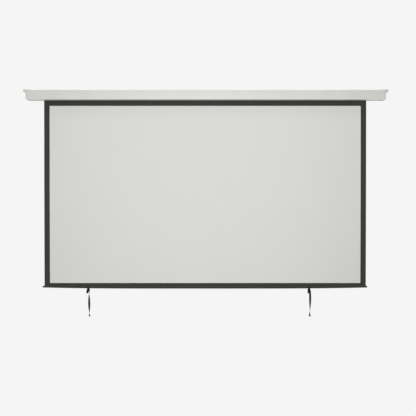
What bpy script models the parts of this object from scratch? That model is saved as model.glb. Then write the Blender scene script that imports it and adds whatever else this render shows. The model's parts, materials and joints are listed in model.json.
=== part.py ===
"""Pull-down projector screen with a spring roller, modelled piece by piece.

Metres, +Z up. X runs along the case, the picture faces -Y, and the origin is the middle of the
case's flat back, which lies against the wall.
"""

import math

import bmesh
import bpy
from mathutils import Matrix, Vector

# Picture and cloth
PICTURE_WIDTH = 2.200
PICTURE_HEIGHT = 1.252
SIDE_BORDER = 0.0389
TOP_BORDER = 0.0388
BOTTOM_BORDER = 0.0265
CLOTH_THICKNESS = 0.0005
COATING_THICKNESS = 0.0004
EDGE_DRAW = 0.003
CLOTH_SHIFT = -0.0045
CLOTH_STEPS = 8

# Clearances
GAP = 0.0003
STOP_GAP = 0.001

# How far solids reach into each other where they join, and past the faces they cut
JOIN_OVERLAP = 0.0006
CUT_ROOM = 0.002

# Case
CASE_OVERHANG = 0.1226
CASE_HEIGHT = 0.0683
CASE_DEPTH = 0.076
CASE_WALL = 0.0012
FRONT_LOWER_RADIUS = 0.005
FRONT_UPPER_RADIUS = 0.007
BACK_RADIUS = 0.003
SLOT_WIDTH = 0.013
LIP_HEIGHT = 0.004
LIP_RADIUS = 0.0015
TRIM_THICKNESS = 0.001

# End caps and their ears
CAP_PLATE = 0.006
CAP_ROUNDING = 0.0025
ROUNDING_SHARE = 0.8
CAP_SPIGOT = 0.012
SPIGOT_WALL = 0.002
EAR_REACH = 0.022
EAR_LAP = 0.037
EAR_WIDTH = 0.052
EAR_THICKNESS = 0.0024
EAR_CORNER = 0.002
EAR_TIP_HEIGHT = 0.0165
EAR_ROOT_HEIGHT = 0.026
RIB_THICKNESS = 0.003
EAR_SLOT_WIDTH = 0.0055
EAR_SLOT_LENGTH = 0.014

# Screws
SCREW_DIAMETER = 0.0034
SCREW_HEAD_DIAMETER = 0.0068
SCREW_HEAD_HEIGHT = 0.002
SCREW_HEAD_STEPS = 3
CAP_SCREW_SPREAD = 0.042
BRACKET_SCREW_SPREAD = 0.036
SCREW_END = 0.003

# Roller brackets
BRACKET_SHEET = 0.002
BRACKET_ROOM = 0.0015
BRACKET_EDGE = 0.010
BRACKET_DROP = 0.002

# Roller
ROLLER_FROM_WALL = 0.040
TUBE_DIAMETER = 0.038
TUBE_WALL = 0.001
RESERVE_TURNS = 1.5
STEPS_PER_WOUND_TURN = 24
ROLLER_TURNS = 10
PLUG_LENGTH = 0.020
PLUG_FLANGE = 0.002
COVER_ROOM = 0.0034

# Lock
RATCHET_DIAMETER = 0.019
RATCHET_THICKNESS = 0.004
COVER_SHEET = 0.001
COVER_HOLE_DIAMETER = 0.021
PAWL_PIVOT_RADIUS = 0.0142
PAWL_PIN_DIAMETER = 0.0025
PAWL_HUB_RADIUS = 0.0026
PAWL_LENGTH = 0.009
PAWL_TIP_RADIUS = 0.0009
PAWL_CLEARANCE = 0.0004
PAWL_SWING = math.radians(18)
NOTCH_CLEARANCE = 0.0005
NOTCH_STEPS = 4

# Spindle, spring and idler
SPINDLE_DIAMETER = 0.008
TONGUE_THICKNESS = 0.004
TONGUE_PROUD = 0.002
TONGUE_ROOM = 0.0025
SPRING_WIRE = 0.002
SPRING_DIAMETER = 0.022
SPRING_TURNS = 20
SPRING_LENGTH = 0.230
POINTS_PER_TURN = 10
ANCHOR_LENGTH = 0.016
ANCHOR_ROOM = 0.006
BUSH_FLANGE_DIAMETER = 0.018
BUSH_FLANGE = 0.002
BUSH_WALL = 0.002

# Bottom rod and hem
ROD_DIAMETER = 0.010
ROD_BOW = 0.0076
BOW_POWER = 4
ROD_STEPS = 16
ROD_SHIFT = -0.00175
HEM_ROOM = 0.0005
HEM_SEAM_HEIGHT = 0.014
HEM_FLAP = 0.006
HEM_ARC_STEPS = 10
ROD_CAP_REACH = 0.0114
ROD_CAP_WALL = 0.001
ROD_CAP_END = 0.002
ROD_CAP_ROUNDING = 0.002
ROD_CAP_STEPS = 3

# Pull straps
STRAP_WIDTH = 0.0145
STRAP_THICKNESS = 0.001
STRAP_LEFT_INSET = 0.3127
STRAP_RIGHT_INSET = 0.4039
STRAP_ROOM = 0.0004
STRAP_CLAMP_DROP = 0.0085
NOTCH_MARGIN = 0.0006
NOTCH_TOP_MARGIN = 0.0005
LOOP_STEPS = 12

# The straps' short ends, measured from the rod's centre
SHORT_DROP = 0.0395
SHORT_FORWARD = 0.0142
SHORT_EASE = 1.4
SHORT_TWIST = math.radians(12)
SHORT_SPREAD_RUN = 0.006
SHORT_STEPS = 8
LEFT_SHORT_ASIDE = -0.0055
RIGHT_SHORT_ASIDE = -0.0050

# The straps' long ends: a quick first twist, then an even one, and a quick one near the end
LONG_DROP = 0.2045
LONG_BACK = 0.0035
LONG_STEPS = 16
LEFT_TWIST_PER_METRE = math.radians(1040)
LEFT_FIRST_TWIST = math.radians(85)
LEFT_FIRST_RUN = 0.025
LEFT_LAST_TWIST = math.radians(50)
LEFT_LEAN = 0.0052
LEFT_LEAN_RUN = 0.006
LEFT_DRIFT = 0.0030
RIGHT_TWIST_PER_METRE = math.radians(975)
RIGHT_FIRST_TWIST = math.radians(-73)
RIGHT_FIRST_RUN = 0.020
RIGHT_LAST_TWIST = math.radians(36)
RIGHT_LEAN = 0.0082
RIGHT_LEAN_RUN = 0.015
RIGHT_DRIFT = -0.0040
DRIFT_POWER = 4
LAST_TWIST_POWER = 10

# Worked out from the sizes above
CLOTH_WIDTH = PICTURE_WIDTH + 2 * SIDE_BORDER
CASE_LENGTH = CLOTH_WIDTH + 2 * CASE_OVERHANG
CASE_TOP = CASE_HEIGHT / 2
CASE_BOTTOM = -CASE_HEIGHT / 2
CASE_END = CASE_LENGTH / 2
CAP_INNER = CASE_END - CAP_PLATE
SHELL_END = CAP_INNER - GAP
BRACKET_OUTER = CAP_INNER - CAP_SPIGOT - BRACKET_ROOM
BRACKET_INNER = BRACKET_OUTER - BRACKET_SHEET
COVER_DEPTH = GAP + RATCHET_THICKNESS + COVER_SHEET + 2 * GAP
PLUG_FACE = BRACKET_INNER - COVER_ROOM - COVER_DEPTH - GAP
TUBE_END = PLUG_FACE - PLUG_FLANGE - GAP
PLUG_INNER = TUBE_END - PLUG_LENGTH

TUBE_RADIUS = TUBE_DIAMETER / 2
SPINDLE_RADIUS = SPINDLE_DIAMETER / 2
SCREW_RADIUS = SCREW_DIAMETER / 2
ROLLER_Y = -ROLLER_FROM_WALL
ROLLER_AXIS = Vector((0, ROLLER_Y, 0))
WIND_PITCH = CLOTH_THICKNESS + GAP
WIND_RADIUS = TUBE_RADIUS + GAP + CLOTH_THICKNESS + WIND_PITCH * RESERVE_TURNS
CLOTH_FRONT = ROLLER_Y + WIND_RADIUS + GAP
CLOTH_MID = CLOTH_FRONT + CLOTH_THICKNESS / 2
COATING_FRONT = CLOTH_FRONT - GAP - COATING_THICKNESS
SLOT_FRONT = CLOTH_MID - SLOT_WIDTH / 2
SLOT_REAR = CLOTH_MID + SLOT_WIDTH / 2

PICTURE_TOP = CASE_BOTTOM - TOP_BORDER
PICTURE_BOTTOM = PICTURE_TOP - PICTURE_HEIGHT
ROD_END_Z = PICTURE_BOTTOM - BOTTOM_BORDER
ROD_MID_Z = ROD_END_Z - ROD_BOW
ROD_RADIUS = ROD_DIAMETER / 2
HEM_RADIUS = ROD_RADIUS + HEM_ROOM + CLOTH_THICKNESS
STRAP_LOOP_RADIUS = ROD_RADIUS + STRAP_ROOM + STRAP_THICKNESS / 2
LOOP_OUTER = STRAP_LOOP_RADIUS + STRAP_THICKNESS / 2
TRAVEL = CASE_BOTTOM - STOP_GAP - max(HEM_RADIUS, LOOP_OUTER) - ROD_END_Z
ROLLER_RADIANS_PER_METRE = 2 * math.pi * ROLLER_TURNS / TRAVEL

EAR_BOTTOM = CASE_TOP + GAP
EAR_TOP = EAR_BOTTOM + EAR_THICKNESS
EAR_MID_Y = -CASE_DEPTH / 2
BRACKET_SCREW_X = CASE_END - EAR_LAP - SCREW_HEAD_DIAMETER - GAP

ANCHOR_START = -PLUG_INNER + ANCHOR_ROOM
SPRING_START = ANCHOR_START + SPRING_WIRE
SPRING_END = SPRING_START + SPRING_LENGTH
COIL_INNER = SPRING_DIAMETER / 2 * math.cos(math.pi / POINTS_PER_TURN) - SPRING_WIRE / 2
HUB_RADIUS = COIL_INNER - GAP
SPRING_PLUG_START = SPRING_END + SPRING_WIRE
SPRING_PLUG_END = SPRING_PLUG_START + PLUG_LENGTH


def clear_scene():
    for obj in list(bpy.data.objects):
        bpy.data.objects.remove(obj, do_unlink=True)
    for collection in list(bpy.data.collections):
        bpy.data.collections.remove(collection)


def make_collection(name):
    collection = bpy.data.collections.new(name)
    bpy.context.scene.collection.children.link(collection)
    return collection


clear_scene()
PARTS = make_collection("projector_screen")
CUTTERS = make_collection("projector_screen_cutters")


# Materials


def make_material(name, colour, roughness, metallic=0.0):
    material = bpy.data.materials.new(name)
    material.use_nodes = True
    shader = material.node_tree.nodes["Principled BSDF"]
    shader.inputs["Base Color"].default_value = (*colour, 1)
    shader.inputs["Roughness"].default_value = roughness
    shader.inputs["Metallic"].default_value = metallic
    material.diffuse_color = (*colour, 1)
    return material


WHITE_PAINT = make_material("white_paint", (0.72, 0.73, 0.70), 0.38)
BLACK_PAINT = make_material("black_paint", (0.030, 0.030, 0.030), 0.40)
WHITE_PLASTIC = make_material("white_plastic", (0.70, 0.71, 0.67), 0.45)
BLACK_PLASTIC = make_material("black_plastic", (0.030, 0.031, 0.029), 0.5)
BLACK_CLOTH = make_material("black_cloth", (0.036, 0.038, 0.034), 0.85)
MATT_WHITE = make_material("matt_white", (0.70, 0.71, 0.68), 0.9)
BLACK_WEBBING = make_material("black_webbing", (0.018, 0.018, 0.018), 0.9)
ZINC_STEEL = make_material("zinc_steel", (0.55, 0.56, 0.57), 0.35, 1.0)
SPRING_STEEL = make_material("spring_steel", (0.32, 0.32, 0.33), 0.3, 1.0)
NYLON = make_material("nylon", (0.62, 0.61, 0.56), 0.5)


# Placing


def world_place(obj):
    place = obj.location.copy()
    return place + world_place(obj.parent) if obj.parent else place


def make_axis(name, place, parent=None):
    axis = bpy.data.objects.new(name, None)
    axis.empty_display_size = 0.03
    axis.parent = parent
    axis.location = place - world_place(parent) if parent else place
    PARTS.objects.link(axis)
    return axis


def mark_cutter(obj):
    obj.hide_render = True
    obj.display_type = "WIRE"


def add_object(name, data, place, material=None, parent=None):
    """A part with a material, or a cutter without one, placed in the world."""
    obj = bpy.data.objects.new(name, data)
    obj.location = Vector(place)
    if material:
        data.materials.append(material)
        PARTS.objects.link(obj)
    else:
        CUTTERS.objects.link(obj)
        mark_cutter(obj)
    if parent:
        obj.parent = parent
        obj.location -= world_place(parent)
    return obj


def finish_mesh(name, bm, place):
    bmesh.ops.translate(bm, vec=-Vector(place), verts=bm.verts)
    mesh = bpy.data.meshes.new(name)
    bm.to_mesh(mesh)
    bm.free()
    return mesh


def boolean(target, tool, operation):
    modifier = target.modifiers.new(f"{operation.lower()} {tool.name}", "BOOLEAN")
    modifier.operation = operation
    modifier.solver = "EXACT"
    modifier.object = tool


def cut(target, tool):
    boolean(target, tool, "DIFFERENCE")


def join(target, tool):
    boolean(target, tool, "UNION")


def smooth(obj, angle=40):
    obj.data.shade_smooth()
    obj.data.set_sharp_from_angle(angle=math.radians(angle))


# Outlines, as lists of (across, up)


def rounded(corners, steps=4, closed=False):
    """The outline through (across, up, radius) corners, with an arc at each one that has a radius."""
    count = len(corners)
    points = []
    for i, (a, b, radius) in enumerate(corners):
        corner = Vector((a, b))
        if not radius or (not closed and i in (0, count - 1)):
            points.append(corner)
            continue
        back = (Vector(corners[i - 1][:2]) - corner).normalized()
        ahead = (Vector(corners[(i + 1) % count][:2]) - corner).normalized()
        half = back.angle(ahead) / 2
        centre = corner + (back + ahead).normalized() * radius / math.sin(half)
        start = corner + back * radius / math.tan(half) - centre
        turn = math.copysign(math.pi - 2 * half, ahead.x * back.y - ahead.y * back.x)
        points += [centre + Matrix.Rotation(turn * k / steps, 2) @ start for k in range(steps + 1)]
    return [tuple(p) for p in points]


def arc(centre, radius, start, end, steps):
    angles = [start + (end - start) * k / steps for k in range(steps + 1)]
    return [(centre[0] + radius * math.cos(a), centre[1] + radius * math.sin(a)) for a in angles]


def tapered_link(hub, hub_radius, tip, tip_radius, steps=8):
    """The outline round two circles and the straight flanks between them."""
    run = Vector(tip) - Vector(hub)
    heading = math.atan2(run.y, run.x)
    flank = math.acos((hub_radius - tip_radius) / run.length)
    round_hub = arc(hub, hub_radius, heading + flank, heading + 2 * math.pi - flank, steps)
    round_tip = arc(tip, tip_radius, heading - flank, heading + flank, steps)
    return round_hub + round_tip


def stadium(centre, width, length, steps=6):
    """A slot of this width across and this length up, with round ends."""
    reach = (length - width) / 2
    upper = arc((centre[0], centre[1] + reach), width / 2, 0, math.pi, steps)
    lower = arc((centre[0], centre[1] - reach), width / 2, math.pi, 2 * math.pi, steps)
    return upper + lower


# Solids

PLANES = {
    "YZ": lambda a, b, depth: (depth, a, b),
    "XZ": lambda a, b, depth: (a, depth, b),
    "XY": lambda a, b, depth: (a, b, depth),
}


def prism(name, outline, plane, low, high, material=None, parent=None, place=None, round_low_high=None):
    """A flat outline in one plane, extruded from low to high along the third axis.

    round_low_high gives the rounding of the edges round its low and its high face.
    """
    at = PLANES[plane]
    bm = bmesh.new()
    face = bm.faces.new([bm.verts.new(at(a, b, low)) for a, b in outline])
    grown = bmesh.ops.extrude_face_region(bm, geom=[face])["geom"]
    upper = [g for g in grown if isinstance(g, bmesh.types.BMVert)]
    bmesh.ops.translate(bm, vec=Vector(at(0, 0, high - low)), verts=upper)
    bmesh.ops.recalc_face_normals(bm, faces=bm.faces)
    if round_low_high:
        upper_faces = [f for f in bm.faces if all(v in upper for v in f.verts)]
        lower_faces = [f for f in bm.faces if not any(v in upper for v in f.verts)]
        for faces, width in zip((lower_faces, upper_faces), round_low_high):
            if width:
                rim = [e for f in faces for e in f.edges]
                bmesh.ops.bevel(bm, geom=rim, offset=width, segments=3, profile=0.5, affect="EDGES")
    if place is None:
        across = [min(a for a, _ in outline), max(a for a, _ in outline)]
        up = [min(b for _, b in outline), max(b for _, b in outline)]
        place = Vector(at(sum(across) / 2, sum(up) / 2, (low + high) / 2))
    return add_object(name, finish_mesh(name, bm, place), place, material, parent)


def box(name, low, high, material=None, parent=None):
    low, high = Vector(low), Vector(high)
    bm = bmesh.new()
    bmesh.ops.create_cube(bm, size=1, matrix=Matrix.Diagonal((*(high - low), 1)))
    mesh = bpy.data.meshes.new(name)
    bm.to_mesh(mesh)
    bm.free()
    return add_object(name, mesh, (low + high) / 2, material, parent)


FACING = {
    "+X": (0, math.pi / 2, 0),
    "-X": (0, -math.pi / 2, 0),
    "+Z": (0, 0, 0),
}


def cylinder(name, place, facing, start, end, radius, material=None, parent=None, sides=16):
    """A round bar along one direction, from start to end, counted from its place."""
    bm = bmesh.new()
    bmesh.ops.create_cone(
        bm,
        cap_ends=True,
        segments=sides,
        radius1=radius,
        radius2=radius,
        depth=end - start,
        matrix=Matrix.Translation((0, 0, (start + end) / 2)),
    )
    mesh = bpy.data.meshes.new(name)
    bm.to_mesh(mesh)
    bm.free()
    obj = add_object(name, mesh, place, material, parent)
    obj.rotation_euler = FACING[facing]
    smooth(obj)
    return obj


def turned(name, profile, place, facing, material=None, parent=None, closed=True, sides=24):
    """A profile of (radius, along) points turned round the facing direction.

    The outer side comes first, from the far end back. A closed profile is a ring, and an open one
    starts and ends on the axis.
    """
    mesh = bpy.data.meshes.new(name)
    count = len(profile)
    edges = [(i, i + 1) for i in range(count - 1)] + ([(count - 1, 0)] if closed else [])
    mesh.from_pydata([(radius, 0, along) for radius, along in profile], edges, [])
    obj = add_object(name, mesh, place, material, parent)
    obj.rotation_euler = FACING[facing]
    screw = obj.modifiers.new("turn", "SCREW")
    screw.axis = "Z"
    screw.angle = 2 * math.pi
    screw.steps = screw.render_steps = sides
    screw.use_merge_vertices = True
    screw.merge_threshold = 0.00001
    screw.use_smooth_shade = False
    return obj


def ring(outer, inner, start, end):
    return [(outer, end), (outer, start), (inner, start), (inner, end)]


def folded_sheet(
    name, path, x_low, x_high, thickness, material=None, parent=None, place=None, steps=1, shape=None
):
    """A sheet along X whose section is a path of (y, z) points.

    The path runs on the sheet's outer face. Where the path goes down, that face looks towards +Y.
    The thickness lies behind it. shape moves each point of the path's surface.
    """
    bm = bmesh.new()
    first = [bm.verts.new((x_low, y, z)) for y, z in path]
    edges = [bm.edges.new(pair) for pair in zip(first, first[1:])]
    for _ in range(steps):
        grown = bmesh.ops.extrude_edge_only(bm, edges=edges)["geom"]
        verts = {g for g in grown if isinstance(g, bmesh.types.BMVert)}
        edges = [g for g in grown if isinstance(g, bmesh.types.BMEdge) and verts.issuperset(g.verts)]
        bmesh.ops.translate(bm, vec=((x_high - x_low) / steps, 0, 0), verts=list(verts))
    bm.normal_update()
    bm.faces.ensure_lookup_table()
    run = Vector((0, path[1][0] - path[0][0], path[1][1] - path[0][1]))
    outward = Vector((1, 0, 0)).cross(run)
    first_face = next(f for f in bm.faces if first[0] in f.verts and first[1] in f.verts)
    if first_face.normal.dot(outward) < 0:
        bmesh.ops.reverse_faces(bm, faces=bm.faces)
    if shape:
        for vert in bm.verts:
            vert.co = shape(vert.co)
    if place is None:
        place = Vector(((x_low + x_high) / 2, path[0][0], path[0][1]))
    obj = add_object(name, finish_mesh(name, bm, place), place, material, parent)
    solidify = obj.modifiers.new("thickness", "SOLIDIFY")
    solidify.thickness = thickness
    solidify.offset = -1
    solidify.use_even_offset = True
    return obj


def tube_along(name, points, radius, material, parent, place, resolution):
    """A round wire or bar through the points, with closed ends."""
    curve = bpy.data.curves.new(name, "CURVE")
    curve.dimensions = "3D"
    curve.bevel_depth = radius
    curve.bevel_resolution = resolution
    curve.use_fill_caps = True
    spline = curve.splines.new("POLY")
    spline.points.add(len(points) - 1)
    for point, where in zip(spline.points, points):
        point.co = (*(Vector(where) - place), 1)
    return add_object(name, curve, place, material, parent)


def ribbon(name, stations, width, thickness, material, parent, place):
    """A flat tape through stations of (centre, width direction), swept as one closed solid."""
    bm = bmesh.new()
    loops = []
    for i, (centre, across) in enumerate(stations):
        before = stations[max(i - 1, 0)][0]
        after = stations[min(i + 1, len(stations) - 1)][0]
        run = (after - before).normalized()
        across = (across - run * across.dot(run)).normalized() * width / 2
        through = run.cross(across).normalized() * thickness / 2
        corners = [across + through, through - across, -across - through, across - through]
        loops.append([bm.verts.new(centre + corner) for corner in corners])
    for near, far in zip(loops, loops[1:]):
        for k in range(4):
            bm.faces.new((near[k], near[(k + 1) % 4], far[(k + 1) % 4], far[k]))
    bm.faces.new(loops[0])
    bm.faces.new(loops[-1])
    bmesh.ops.recalc_face_normals(bm, faces=bm.faces)
    return add_object(name, finish_mesh(name, bm, place), place, material, parent)


# Case


def shell_path(inset=0.0):
    """The case's section from the slot's front edge round to its rear edge, moved inwards by inset."""
    low, high = CASE_BOTTOM + inset, CASE_TOP - inset
    front, back = -CASE_DEPTH + inset, -inset
    return [
        (SLOT_FRONT, low + LIP_HEIGHT, 0),
        (SLOT_FRONT, low, LIP_RADIUS),
        (front, low, FRONT_LOWER_RADIUS),
        (front, high, FRONT_UPPER_RADIUS),
        (back, high, BACK_RADIUS),
        (back, low, BACK_RADIUS),
        (SLOT_REAR, low, LIP_RADIUS),
        (SLOT_REAR, low + LIP_HEIGHT, 0),
    ]


def make_case():
    shell = folded_sheet(
        "case_shell",
        rounded(shell_path()),
        -SHELL_END,
        SHELL_END,
        CASE_WALL,
        WHITE_PAINT,
        place=Vector((0, 0, 0)),
    )
    for side in (-1, 1):
        for row in (-1, 1):
            spot = bracket_screw_spot(side, row)
            start = -CASE_WALL - CUT_ROOM
            cut(shell, cylinder("shell_screw_hole", spot, "+Z", start, CUT_ROOM, SCREW_RADIUS + GAP))
    smooth(shell)


def make_trim(name, lip_y, lip_behind):
    """A clip over one lip of the slot. lip_behind is -1 where the lip lies towards the front."""
    reach = GAP + TRIM_THICKNESS
    top = CASE_BOTTOM + LIP_HEIGHT + reach
    slot_leg = lip_y - lip_behind * reach
    hidden_leg = lip_y + lip_behind * (CASE_WALL + reach)
    slot_foot = CASE_BOTTOM
    hidden_foot = CASE_BOTTOM + max(CASE_WALL, LIP_RADIUS) + GAP
    legs = [(slot_leg, slot_foot), (hidden_leg, hidden_foot)]
    legs.sort()
    (left, left_foot), (right, right_foot) = legs
    upper = [(left, top, TRIM_THICKNESS), (right, top, TRIM_THICKNESS)]
    path = [(left, left_foot, 0)] + upper + [(right, right_foot, 0)]
    folded_sheet(name, rounded(path, steps=3), -SHELL_END, SHELL_END, TRIM_THICKNESS, BLACK_PLASTIC)


# End caps


def cap_screw_spot(side, row):
    return Vector((side * CASE_END, ROLLER_Y, row * CAP_SCREW_SPREAD / 2))


def bracket_screw_spot(side, row):
    return Vector((side * BRACKET_SCREW_X, ROLLER_Y + row * BRACKET_SCREW_SPREAD / 2, CASE_TOP))


def span(side, inner, outer):
    """Low and high X of a stretch given by its distances from the middle."""
    return sorted((side * inner, side * outer))


def make_end_cap(side, word):
    corners = [
        (-CASE_DEPTH, CASE_BOTTOM, FRONT_LOWER_RADIUS),
        (-CASE_DEPTH, CASE_TOP, FRONT_UPPER_RADIUS),
        (0, CASE_TOP, BACK_RADIUS),
        (0, CASE_BOTTOM, BACK_RADIUS),
    ]
    round_width = min([CAP_ROUNDING] + [ROUNDING_SHARE * radius for _, _, radius in corners])
    rounding = (round_width, 0) if side < 0 else (0, round_width)
    low, high = span(side, CAP_INNER, CASE_END)
    outline = rounded(corners, closed=True)
    cap = prism(f"end_cap_{word}", outline, "YZ", low, high, WHITE_PLASTIC, round_low_high=rounding)

    inset = CASE_WALL + GAP
    wall_path = [
        (-CASE_DEPTH + inset, CASE_BOTTOM + FRONT_LOWER_RADIUS, 0),
        (-CASE_DEPTH + inset, CASE_TOP - inset, FRONT_UPPER_RADIUS),
        (-inset, CASE_TOP - inset, BACK_RADIUS),
        (-inset, CASE_BOTTOM + FRONT_LOWER_RADIUS, 0),
    ]
    low, high = span(side, CAP_INNER - CAP_SPIGOT, CAP_INNER + JOIN_OVERLAP)
    join(cap, folded_sheet(f"{word}_spigot", rounded(wall_path), low, high, SPIGOT_WALL))

    ear_front = EAR_MID_Y - EAR_WIDTH / 2
    ear_back = EAR_MID_Y + EAR_WIDTH / 2
    inner, outer = CASE_END - EAR_LAP, CASE_END + EAR_REACH
    low, high = span(side, CAP_INNER + JOIN_OVERLAP, CASE_END - CAP_ROUNDING)
    riser_low = (low, ear_front + JOIN_OVERLAP, CASE_TOP - CAP_PLATE / 2)
    riser_high = (high, ear_back - JOIN_OVERLAP, EAR_BOTTOM + EAR_THICKNESS / 2)
    join(cap, box(f"{word}_riser", riser_low, riser_high))
    low, high = span(side, inner, outer)
    flange = [
        (low, ear_front, EAR_CORNER),
        (high, ear_front, EAR_CORNER),
        (high, ear_back, EAR_CORNER),
        (low, ear_back, EAR_CORNER),
    ]
    join(cap, prism(f"{word}_flange", rounded(flange, closed=True), "XY", EAR_BOTTOM, EAR_TOP))

    rib_tip = outer - EAR_CORNER
    rib_root = CASE_END - JOIN_OVERLAP
    rib_top = EAR_BOTTOM + JOIN_OVERLAP
    rib = [
        (side * rib_root, rib_top),
        (side * rib_tip, rib_top),
        (side * rib_tip, EAR_TOP - EAR_TIP_HEIGHT),
        (side * rib_root, EAR_TOP - EAR_ROOT_HEIGHT),
    ]
    rib_front = ear_front + JOIN_OVERLAP
    rib_back = ear_back - JOIN_OVERLAP - RIB_THICKNESS
    for row, near in (("front", rib_front), ("back", rib_back)):
        join(cap, prism(f"{word}_rib_{row}", rib, "XZ", near, near + RIB_THICKNESS))

    slot_centre = (side * (CASE_END + EAR_REACH / 2), EAR_MID_Y)
    slot = stadium(slot_centre, EAR_SLOT_WIDTH, EAR_SLOT_LENGTH)
    cut(cap, prism(f"{word}_ear_slot", slot, "XY", EAR_BOTTOM - CUT_ROOM, EAR_TOP + CUT_ROOM))
    start, end = span(side, -CAP_PLATE - CUT_ROOM, CUT_ROOM)
    for row in (-1, 1):
        spot = cap_screw_spot(side, row)
        cut(cap, cylinder(f"{word}_cap_hole", spot, "+X", start, end, SCREW_RADIUS + GAP))


def make_screw(name, place, facing, length):
    """A round-headed screw whose head lies on the face at its place."""
    head = SCREW_HEAD_DIAMETER / 2
    profile = [(0, GAP + SCREW_HEAD_HEIGHT)]
    for k in range(SCREW_HEAD_STEPS):
        angle = math.pi / 2 * (1 - (k + 1) / SCREW_HEAD_STEPS)
        profile.append((head * math.cos(angle), GAP + SCREW_HEAD_HEIGHT * math.sin(angle)))
    profile += [(SCREW_RADIUS, GAP), (SCREW_RADIUS, -length), (0, -length)]
    turned(name, profile, place, facing, ZINC_STEEL, closed=False, sides=12)


def make_screws(side, word):
    for row, level in ((1, "upper"), (-1, "lower")):
        reach = CASE_END - BRACKET_INNER + SCREW_END
        facing = "+X" if side > 0 else "-X"
        make_screw(f"cap_screw_{word}_{level}", cap_screw_spot(side, row), facing, reach)
    for row, where in ((-1, "front"), (1, "rear")):
        reach = CASE_WALL + GAP + BRACKET_SHEET + SCREW_END
        make_screw(f"bracket_screw_{word}_{where}", bracket_screw_spot(side, row), "+Z", reach)


# Roller brackets


def make_bracket(side, word):
    foot_top = CASE_TOP - CASE_WALL - GAP
    foot_end = BRACKET_SCREW_X - SCREW_HEAD_DIAMETER
    plate_low = CASE_BOTTOM + LIP_HEIGHT + GAP + TRIM_THICKNESS + BRACKET_DROP
    section = [
        (side * BRACKET_OUTER, plate_low),
        (side * BRACKET_OUTER, foot_top),
        (side * foot_end, foot_top),
        (side * foot_end, foot_top - BRACKET_SHEET),
        (side * BRACKET_INNER, foot_top - BRACKET_SHEET),
        (side * BRACKET_INNER, plate_low),
    ]
    front = -CASE_DEPTH + BRACKET_EDGE
    back = -BRACKET_EDGE
    bracket = prism(f"roller_bracket_{word}", section, "XZ", front, back, ZINC_STEEL)
    for row in (-1, 1):
        spot = bracket_screw_spot(side, row)
        start = foot_top - BRACKET_SHEET - CUT_ROOM - CASE_TOP
        cut(bracket, cylinder(f"{word}_foot_hole", spot, "+Z", start, CUT_ROOM, SCREW_RADIUS + GAP))
        spot = cap_screw_spot(side, row)
        start, end = span(side, BRACKET_INNER - CUT_ROOM - CASE_END, 0)
        cut(bracket, cylinder(f"{word}_plate_hole", spot, "+X", start, end, SCREW_RADIUS + GAP))
    return bracket


def make_left_bracket():
    bracket = make_bracket(-1, "left")
    half_y = SPINDLE_RADIUS + GAP
    half_z = TONGUE_THICKNESS / 2 + GAP
    low = (-BRACKET_OUTER - BRACKET_SHEET, ROLLER_Y - half_y, -half_z)
    high = (-BRACKET_INNER + BRACKET_SHEET, ROLLER_Y + half_y, half_z)
    cut(bracket, box("tongue_hole", low, high))


def make_right_bracket():
    bracket = make_bracket(1, "right")
    place = Vector((BRACKET_INNER, ROLLER_Y, 0))
    body = SPINDLE_RADIUS + GAP + BUSH_WALL
    hole = body + GAP
    cut(bracket, cylinder("bush_hole", place, "+X", -BRACKET_SHEET, 2 * BRACKET_SHEET, hole, sides=24))
    bore = SPINDLE_RADIUS + GAP
    profile = [
        (body, BRACKET_SHEET + GAP),
        (body, -GAP),
        (BUSH_FLANGE_DIAMETER / 2, -GAP),
        (BUSH_FLANGE_DIAMETER / 2, -GAP - BUSH_FLANGE),
        (bore, -GAP - BUSH_FLANGE),
        (bore, BRACKET_SHEET + GAP),
    ]
    turned("bracket_bush", profile, place, "+X", NYLON, sides=24)


# Roller and what turns with it


def make_tube(axis):
    profile = ring(TUBE_RADIUS, TUBE_RADIUS - TUBE_WALL, -TUBE_END, TUBE_END)
    turned("roller_tube", profile, ROLLER_AXIS, "+X", ZINC_STEEL, axis, sides=32)


def make_wound_cloth(axis):
    """The reserve turns, from the tube out to where the cloth leaves the roller at its rear."""
    steps = round(STEPS_PER_WOUND_TURN * RESERVE_TURNS)
    path = []
    for k in range(steps, -1, -1):
        turn = RESERVE_TURNS * k / steps
        radius = WIND_RADIUS - WIND_PITCH * turn
        angle = 2 * math.pi * turn
        path.append((ROLLER_Y + radius * math.cos(angle), radius * math.sin(angle)))
    half = CLOTH_WIDTH / 2
    low, high = CLOTH_SHIFT - half, CLOTH_SHIFT + half
    folded_sheet("wound_cloth", path, low, high, CLOTH_THICKNESS, BLACK_CLOTH, axis, ROLLER_AXIS)


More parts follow.
